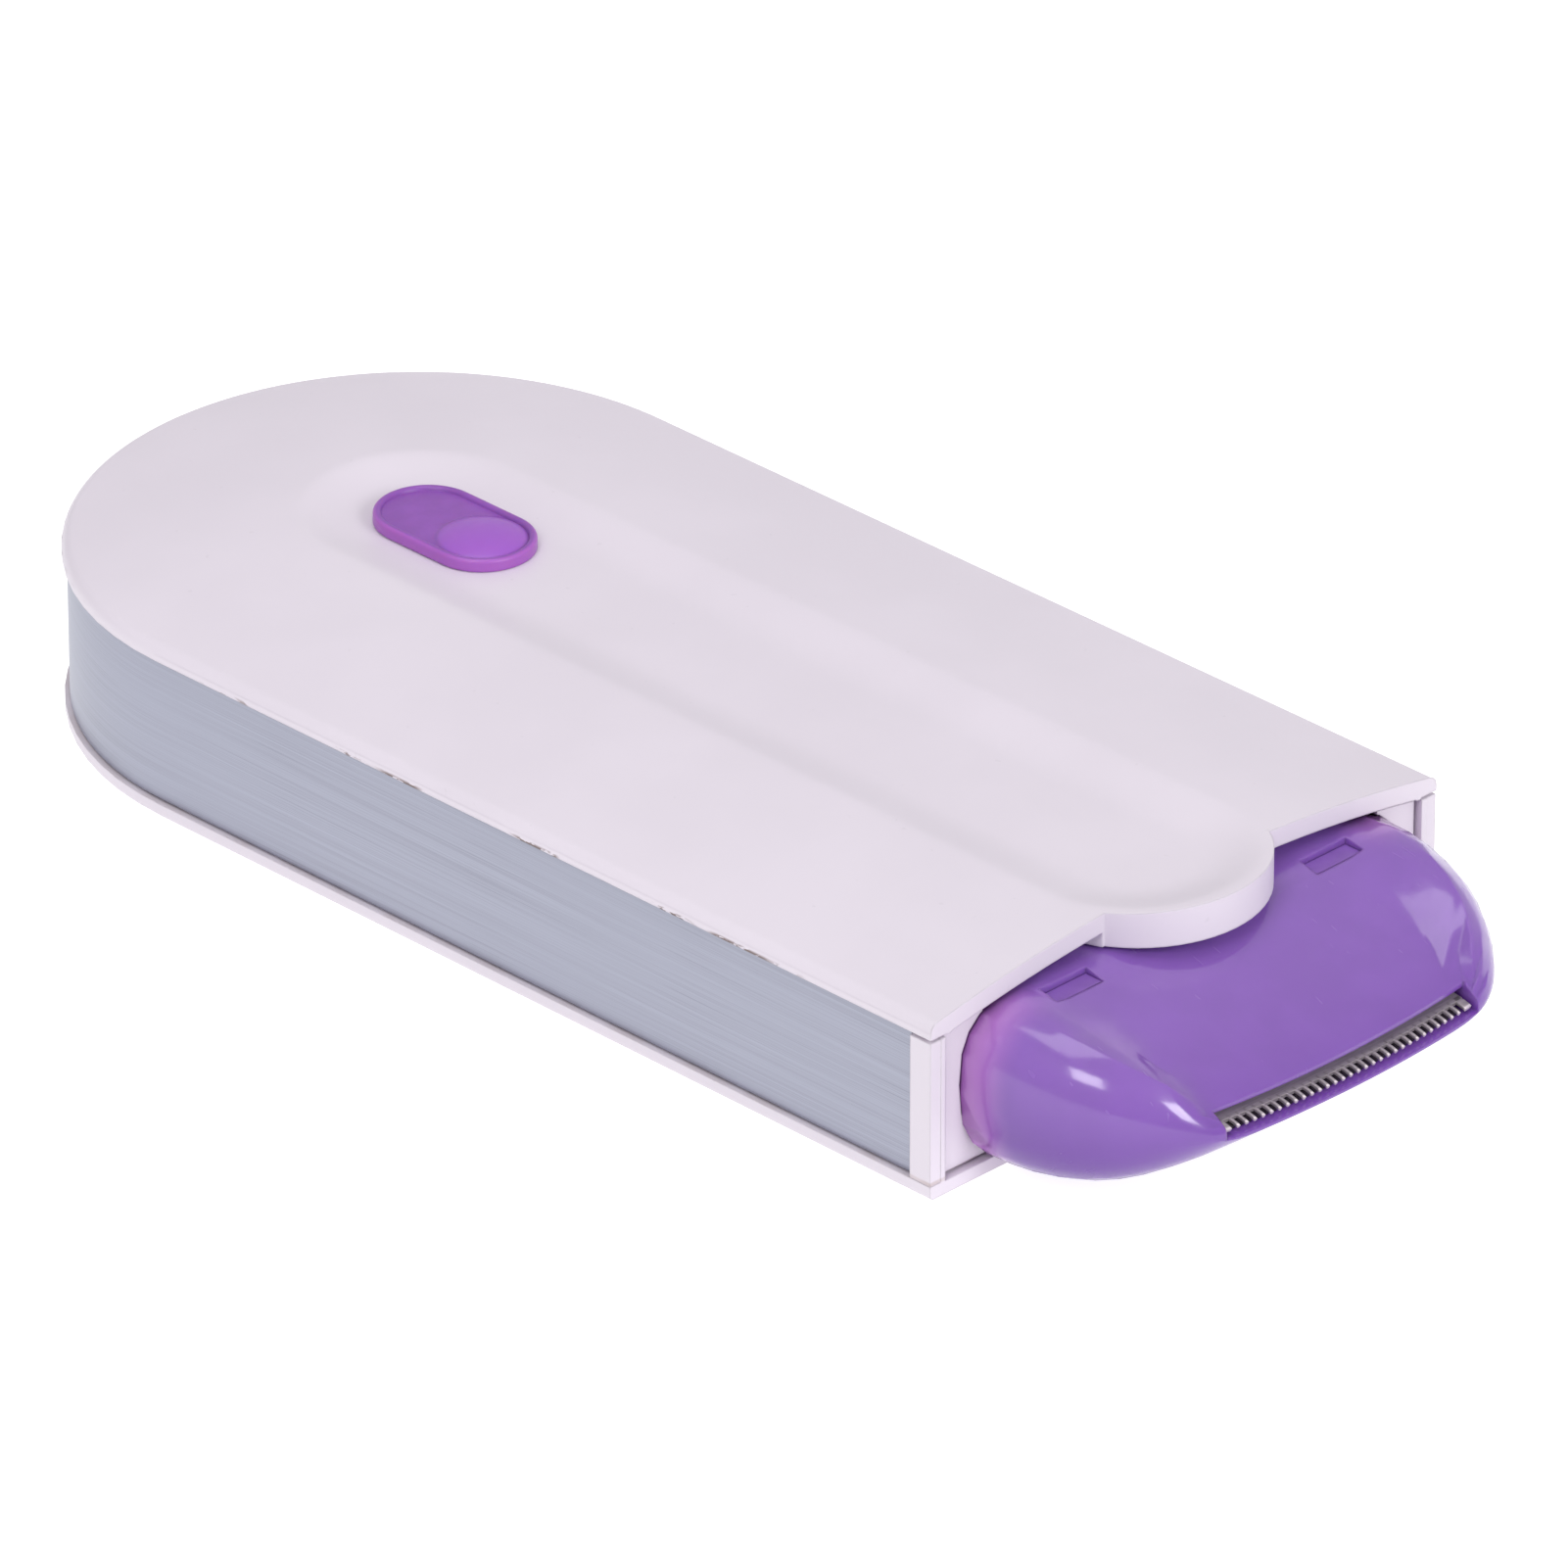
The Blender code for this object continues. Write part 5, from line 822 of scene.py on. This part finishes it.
class TRIMMER_OT_screws(bpy.types.Operator):
    """Turns the four case screws, with a cross recess and a thread"""

    bl_idname = "trimmer.screws"
    bl_label = "Case screws"

    def execute(self, context):
        sizes = context.scene.trimmer_sizes
        nodes = [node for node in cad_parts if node.startswith("case_screw")]
        feet = []
        for node in nodes:
            low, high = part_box(node)
            feet.append(((low.x + high.x) / 2, (low.y + high.y) / 2, low.z))
        low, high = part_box(nodes[0])
        recipe = Recipe("screw_row")
        radius = recipe.size("Head radius", (high.x - low.x) / 2)
        head, shank = recipe.settings(sizes, "screw_head", "screw_shank")
        length = recipe.size("Length", high.z - low.z)
        dome, crown = head * 0.45, radius * 0.72
        pan = self.turned_part(recipe, crown, radius, 0, dome)
        rim = self.turned_part(recipe, radius, radius, dome, head)
        slot, wing, deep = radius * 0.11, radius * 0.62, head * 0.6
        slots = [
            recipe.block((-across, -along, -head), (across, along, deep))
            for across, along in ((wing, slot), (slot, wing))
        ]
        cross = recipe.together(*slots)
        pan = recipe.node("GeometryNodeMeshBoolean", {"operation": "DIFFERENCE"}, pan, cross)
        rod = self.turned_part(recipe, shank, shank, head * 0.9, length - shank)
        tip = self.turned_part(recipe, shank, shank * 0.3, length - shank, length)
        lead, runout = shank * 0.9, shank * 1.4
        ends = {"Start Radius": shank, "End Radius": shank, "Height": length - head - runout}
        turns = (length - head) / lead
        ridge = recipe.node("GeometryNodeCurveSpiral", {}, Resolution=16, Rotations=turns, **ends)
        ridge = recipe.moved(ridge, recipe.vector(0, 0, head))
        section = {"Resolution": 4, "Radius": shank * 0.16}
        section = recipe.node("GeometryNodeCurvePrimitiveCircle", {}, **section)
        thread = recipe.sweep(ridge, section)
        screw = recipe.together(pan, rim, rod, tip, thread)
        screws = recipe.node("GeometryNodeInstanceOnPoints", {}, Points=recipe.anchors(), Instance=screw)
        plated = steel_finish("plated_screw", (0.56, 0.56, 0.58), (3, 3, 0.6), 0.3)
        piece = recipe.grow("case_screws", screws, plated, feet)
        settle(piece, "case", "steel_parts", *nodes)
        return {"FINISHED"}

    def turned_part(self, recipe, foot, top, start, end):
        """A cone or a cylinder that stands on Z from start to end."""
        sockets = {"Vertices": 32, "Radius Top": top, "Radius Bottom": foot, "Depth": end - start}
        cone = recipe.node("GeometryNodeMeshCone", {}, **sockets)
        return recipe.moved(cone, recipe.vector(0, 0, start))


class TRIMMER_OT_head(bpy.types.Operator):
    """Finishes the purple head and its inner frame"""

    bl_idname = "trimmer.head"
    bl_label = "Head"

    def execute(self, context):
        looks = context.scene.trimmer_looks
        front = foot_of("base_shell").y
        shell = smoothed_copy("head_shell", "purple_head_shell")
        self.seat_shoulder(shell.data, front)
        dress(shell, purple_finish(looks, front))
        settle(shell, "head", "purple_head", "head_shell")
        carrier = smoothed_copy("blade_carrier", "purple_blade_carrier")
        self.fill_windows(carrier.data)
        dress(carrier, tab_finish(looks))
        settle(carrier, "head", "dark_purple", "blade_carrier")
        return {"FINISHED"}

    def seat_shoulder(self, mesh, front):
        """Takes the head's full width back to the bezel, except near the case's floor."""
        shoulder, tolerance = 0.3 * MM, 0.01 * MM
        outer_move, inner_share = 0.85 * MM, 0.55
        start, rise = 2.6 * MM, 1.6 * MM
        for point in mesh.vertices:
            reach = front - point.co.y
            if abs(abs(reach) - shoulder) < tolerance:
                share = min(max((point.co.z - start) / rise, 0), 1)
                point.co.y += outer_move * share * (1 if reach > 0 else inner_share)

    def fill_windows(self, mesh):
        """Widens the tops of the two latch tabs until they nearly fill their windows."""
        tip_height, widening = 0.6 * MM, 0.18 * MM
        top = max(point.co.z for point in mesh.vertices)
        tips = [point for point in mesh.vertices if point.co.z > top - tip_height]
        for side in (-1, 1):
            tab = [point for point in tips if point.co.x * side > 0]
            for number in (0, 1):
                middle = sum(point.co[number] for point in tab) / len(tab)
                for point in tab:
                    point.co[number] += math.copysign(widening, point.co[number] - middle)


class TRIMMER_OT_blades(bpy.types.Operator):
    """Grows the comb and the cutter, tooth by tooth, and finishes their spring"""

    bl_idname = "trimmer.blades"
    bl_label = "Blades"

    def execute(self, context):
        sizes = context.scene.trimmer_sizes
        looks = context.scene.trimmer_looks

        # Painted highlight along the ends of the comb's teeth, which follow the blade's bow.
        def tips(finish):
            share = finish.axis(0) / top_of("comb_blade").x
            nose = foot_of("head_shell").y + share * share * sizes.bow
            return 1 - (finish.axis(1) - nose).step(0.72 * MM, 0.86 * MM)

        steel = steel_finish("ground_steel", looks.steel, (0.3, 6, 6), 0.46, 0.35, tips)
        comb = self.comb(sizes, steel)
        settle(comb, "head", "blade_steel", "comb_blade")
        # Painted shade: the cutter, seen only through the comb's gaps, is given nearly black steel.
        cutter_finish_shaded = steel_finish("hardened_steel", looks.cutter_painted_shade, (0.3, 6, 6), 0.4, 0.8)
        cutter = self.cutter(sizes, cutter_finish_shaded)
        settle(cutter, "cutter", "blade_steel", "cutter_blade")
        dress(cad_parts["blade_spring"], steel)
        return {"FINISHED"}

    def teeth(self, recipe, tooth, sizes, gaps, half):
        """A row of teeth, and the two broad ones at its ends. The rule grows a tooth of any width."""
        pitch, width = recipe.settings(sizes, "pitch", "tooth_width")
        side = half - gaps * pitch * 0.5 + width * 0.5
        return recipe.row(tooth(width), gaps - 1, pitch), recipe.row(tooth(side), 2, half * 2 - side)

    def comb(self, sizes, steel):
        """A sheet, and teeth that bend down from its ridge and end in a round tip."""
        recipe = Recipe("comb_teeth")
        gaps, bend, radius = recipe.settings(sizes, "tooth_gaps", "tooth_bend", "bend_radius")
        length, thick, lead = recipe.settings(sizes, "comb_length", "comb_thickness", "slit_start")
        half = recipe.size("Half width", top_of("comb_blade").x)
        root = thick * 2
        middle = radius - thick * 0.5

        def angle(way):
            return ((way - root) / radius).at_least(0)

        def along(way):
            return (root - way).at_least(0) - angle(way).sine() * middle

        def up(way):
            return angle(way).cosine() * middle - radius

        stops = 15
        path = recipe.path(root + bend * radius, stops, lambda way: way * 0, along, up)
        share = recipe.node("GeometryNodeSplineParameter", {})
        fullness = 1 - share.step(0.86, 1.0) * 0.55 - (1 - share.step(0.3, 0.75)) * 0.06
        path = recipe.node("GeometryNodeSetCurveRadius", {}, Curve=path, Radius=fullness)

        def tooth(wide):
            return recipe.sweep(path, recipe.bar_section(wide, thick, thick * 0.28))

        teeth = self.teeth(recipe, tooth, sizes, gaps, half)
        sheet = recipe.block((-half, lead, -thick), (half, length, 0), (33, 5, 2))
        whole = recipe.together(*teeth, sheet)
        return recipe.grow("steel_comb_blade", self.set_in_head(recipe, whole, sizes), steel)

    def cutter(self, sizes, steel):
        """A flat toothed bar with a narrower tail."""
        recipe = Recipe("cutter_teeth")
        gaps, thick = recipe.settings(sizes, "cutter_gaps", "cutter_thickness")
        top = recipe.size("Top", -sizes.cutter_drop)
        half = recipe.size("Half width", top_of("cutter_blade").x)
        lead = recipe.size("Lead", 0.3 * MM)
        root = recipe.size("Root", 0.6 * MM)
        bar = recipe.size("Bar", 1.8 * MM)
        tail = recipe.size("Tail", 3.0 * MM)
        tail_half = recipe.size("Tail half width", 6.5 * MM)
        inset = thick * 0.03
        low, high = top - thick, top

        def tooth(wide):
            foot = (wide * -0.5, -lead, low + inset)
            return recipe.block(foot, (wide * 0.5, root + inset, high - inset))

        teeth = self.teeth(recipe, tooth, sizes, gaps, half)
        sheet = recipe.block((-half, root, low), (half, root + bar, high), (33, 2, 2))
        tongue_foot = (-tail_half, root + bar - inset, low + inset)
        tongue = recipe.block(tongue_foot, (tail_half, root + bar + tail, high - inset), (13, 2, 2))
        whole = recipe.together(*teeth, sheet, tongue)
        return recipe.grow("steel_cutter_blade", self.set_in_head(recipe, whole, sizes), steel)

    def set_in_head(self, recipe, blade, sizes):
        """Bows a blade that was drawn flat, tilts it and sets its ridge in the head."""
        bow, tilt, height = recipe.settings(sizes, "bow", "blade_tilt", "ridge_height")
        reach = recipe.size("Bow half width", top_of("comb_blade").x)
        share = recipe.place_of(0) / reach
        back = recipe.vector(0, share * share * bow, 0)
        blade = recipe.node("GeometryNodeRealizeInstances", {}, blade)
        blade = recipe.node("GeometryNodeSetPosition", {}, Geometry=blade, Offset=back)
        ridge = recipe.size("Ridge", foot_of("head_shell").y + sizes.ridge_setback)
        sockets = {"Geometry": blade, "Translation": recipe.vector(0, ridge, height)}
        return recipe.node("GeometryNodeTransform", {}, **sockets, Rotation=recipe.vector(tilt, 0, 0))


class TRIMMER_OT_knob(bpy.types.Operator):
    """Finishes the slide knob"""

    bl_idname = "trimmer.knob"
    bl_label = "Slide knob"

    def execute(self, context):
        sizes = context.scene.trimmer_sizes
        low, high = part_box("slide_knob")
        floor = high.z - sizes.bump_height
        top = floor + sizes.knob_dish
        foot = top - sizes.knob_height
        cut = foot - 0.05 * MM
        shape = merged("slide_knob")
        parts = shape.verts[:] + shape.edges[:] + shape.faces[:]
        below = {"plane_co": (0, 0, cut), "plane_no": (0, 0, 1), "clear_outer": True}
        bmesh.ops.bisect_plane(shape, geom=parts, dist=SAME_POINT, **below)
        bmesh.ops.holes_fill(shape, edges=[edge for edge in shape.edges if edge.is_boundary])
        self.cap(shape, low, high, sizes, (foot, top, floor))
        knob = smooth_piece("purple_slide_knob", shape)
        dress(knob, knob_finish(context.scene.trimmer_looks, sizes))
        settle(knob, "switch_slider", "bright_purple", "slide_knob")
        return {"FINISHED"}

    def cap(self, shape, low, high, sizes, heights):
        """Rings from the foot over the rim into the dish, whose floor rises to a thumb bump in front."""
        foot, top, floor = heights
        half, middle = (high.x - low.x) / 2, (low.y + high.y) / 2
        straight = (high.y - low.y) / 2 - half
        rim, dish = sizes.knob_rim, sizes.knob_dish
        edge = rim * 0.45
        inner_edge = edge * 0.9
        chamfer = 0.12 * MM
        foot -= 0.1 * MM
        outer_steps, inner_steps, floor_steps = 4, 5, 20
        profile = [(chamfer, foot), (0, foot + chamfer), (0, top - edge)]
        for step in range(1, outer_steps + 1):
            lift = QUARTER_TURN * step / outer_steps
            profile.append((edge * (1 - math.cos(lift)), top - edge * (1 - math.sin(lift))))
        profile.append((rim - inner_edge, top))
        for step in range(1, inner_steps + 1):
            lift = QUARTER_TURN * step / inner_steps
            profile.append((rim - inner_edge * (1 - math.sin(lift)), top - dish * (1 - math.cos(lift))))
        for step in range(1, floor_steps):
            profile.append((rim + (half - rim) * step / floor_steps, floor))
        bump_radius = half - rim
        bump_y = low.y + rim + bump_radius
        rings = []
        for inset, height in profile:
            ring = []
            for x, y in self.stadium(half - inset, middle - straight, middle + straight):
                away = min(math.hypot(x, y - bump_y) / bump_radius, 1)
                dome = floor + sizes.bump_height * (1 - away**2) ** 0.75
                lifted = max(height, dome) if inset > rim - edge else height
                ring.append(shape.verts.new((x, y, lifted)))
            rings.append(ring)
        count = len(rings[0])
        for outer, inner in zip(rings, rings[1:]):
            for spot in range(count):
                following = (spot + 1) % count
                shape.faces.new((outer[spot], outer[following], inner[following], inner[spot]))
        shape.faces.new(reversed(rings[0]))
        last = rings[-1]
        for spot in range(count // 2 - 1):
            shape.faces.new((last[spot], last[spot + 1], last[count - 2 - spot], last[count - 1 - spot]))

    def stadium(self, radius, front, rear):
        """Points round a slot shape, from the middle line behind. Its halves mirror each other."""
        bends, sides = 16, 24
        turns = [QUARTER_TURN * (step + 0.5) / bends for step in range(bends)]
        points = [(radius * math.sin(turn), rear + radius * math.cos(turn)) for turn in turns]
        points += [(radius, rear + (front - rear) * (step + 0.5) / sides) for step in range(sides)]
        points += [(radius * math.cos(turn), front - radius * math.sin(turn)) for turn in turns]
        return points + [(-x, y) for x, y in reversed(points)]


class TRIMMER_OT_inside(bpy.types.Operator):
    """Finishes the motor, board, battery, leads and the other inner pieces"""

    bl_idname = "trimmer.inside"
    bl_label = "Inside"

    def execute(self, context):
        looks = context.scene.trimmer_looks
        finishes = {
            "steel_parts": steel_finish("plated_steel", (0.58, 0.58, 0.60), (3, 0.4, 3), 0.32),
            "inner_plastic": plastic_finish("natural_plastic", (0.72, 0.69, 0.68), 0.42),
            "black_plastic": plastic_finish("black_plastic", (0.02, 0.02, 0.022), 0.45),
            "board": board_finish(looks),
            "cell_sleeve": cell_finish(looks),
            "lead_red": plastic_finish("red_lead", (0.42, 0.02, 0.02), 0.4),
            "lead_black": plastic_finish("black_lead", (0.015, 0.015, 0.018), 0.4),
        }
        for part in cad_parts.values():
            slot = part.data.materials[0].name.split(".")[0]
            if slot in finishes:
                dress(part, finishes[slot])
        return {"FINISHED"}


class TRIMMER_PT_panel(bpy.types.Panel):
    """Lists the steps that make the trimmer"""

    bl_idname = "TRIMMER_PT_panel"
    bl_label = "Hair trimmer"
    bl_space_type = "VIEW_3D"
    bl_region_type = "UI"
    bl_category = "Trimmer"

    def draw(self, context):
        for step in STEPS:
            self.layout.operator(step.bl_idname)
        scene = context.scene
        for group in (scene.trimmer_looks, scene.trimmer_sizes, scene.trimmer_stage):
            for name in group.__annotations__:
                self.layout.prop(group, name)


STEPS = (
    TRIMMER_OT_stage,
    TRIMMER_OT_case,
    TRIMMER_OT_band,
    TRIMMER_OT_screws,
    TRIMMER_OT_head,
    TRIMMER_OT_blades,
    TRIMMER_OT_knob,
    TRIMMER_OT_inside,
)
CLASSES = (TrimmerLooks, TrimmerSizes, TrimmerStage, *STEPS, TRIMMER_PT_panel)


def register():
    for made in CLASSES:
        bpy.utils.register_class(made)
    bpy.types.Scene.trimmer_looks = PointerProperty(type=TrimmerLooks)
    bpy.types.Scene.trimmer_sizes = PointerProperty(type=TrimmerSizes)
    bpy.types.Scene.trimmer_stage = PointerProperty(type=TrimmerStage)


def unregister():
    del bpy.types.Scene.trimmer_looks
    del bpy.types.Scene.trimmer_sizes
    del bpy.types.Scene.trimmer_stage
    for made in reversed(CLASSES):
        bpy.utils.unregister_class(made)


def main():
    register()
    for name in ("Cube", "Light", "Camera"):
        if name in bpy.data.objects:
            bpy.data.objects.remove(bpy.data.objects[name])
    bpy.ops.trimmer.stage()
    bpy.ops.trimmer.case()
    bpy.ops.trimmer.band()
    bpy.ops.trimmer.screws()
    bpy.ops.trimmer.head()
    bpy.ops.trimmer.blades()
    bpy.ops.trimmer.knob()
    bpy.ops.trimmer.inside()


if __name__ == "__main__":
    main()
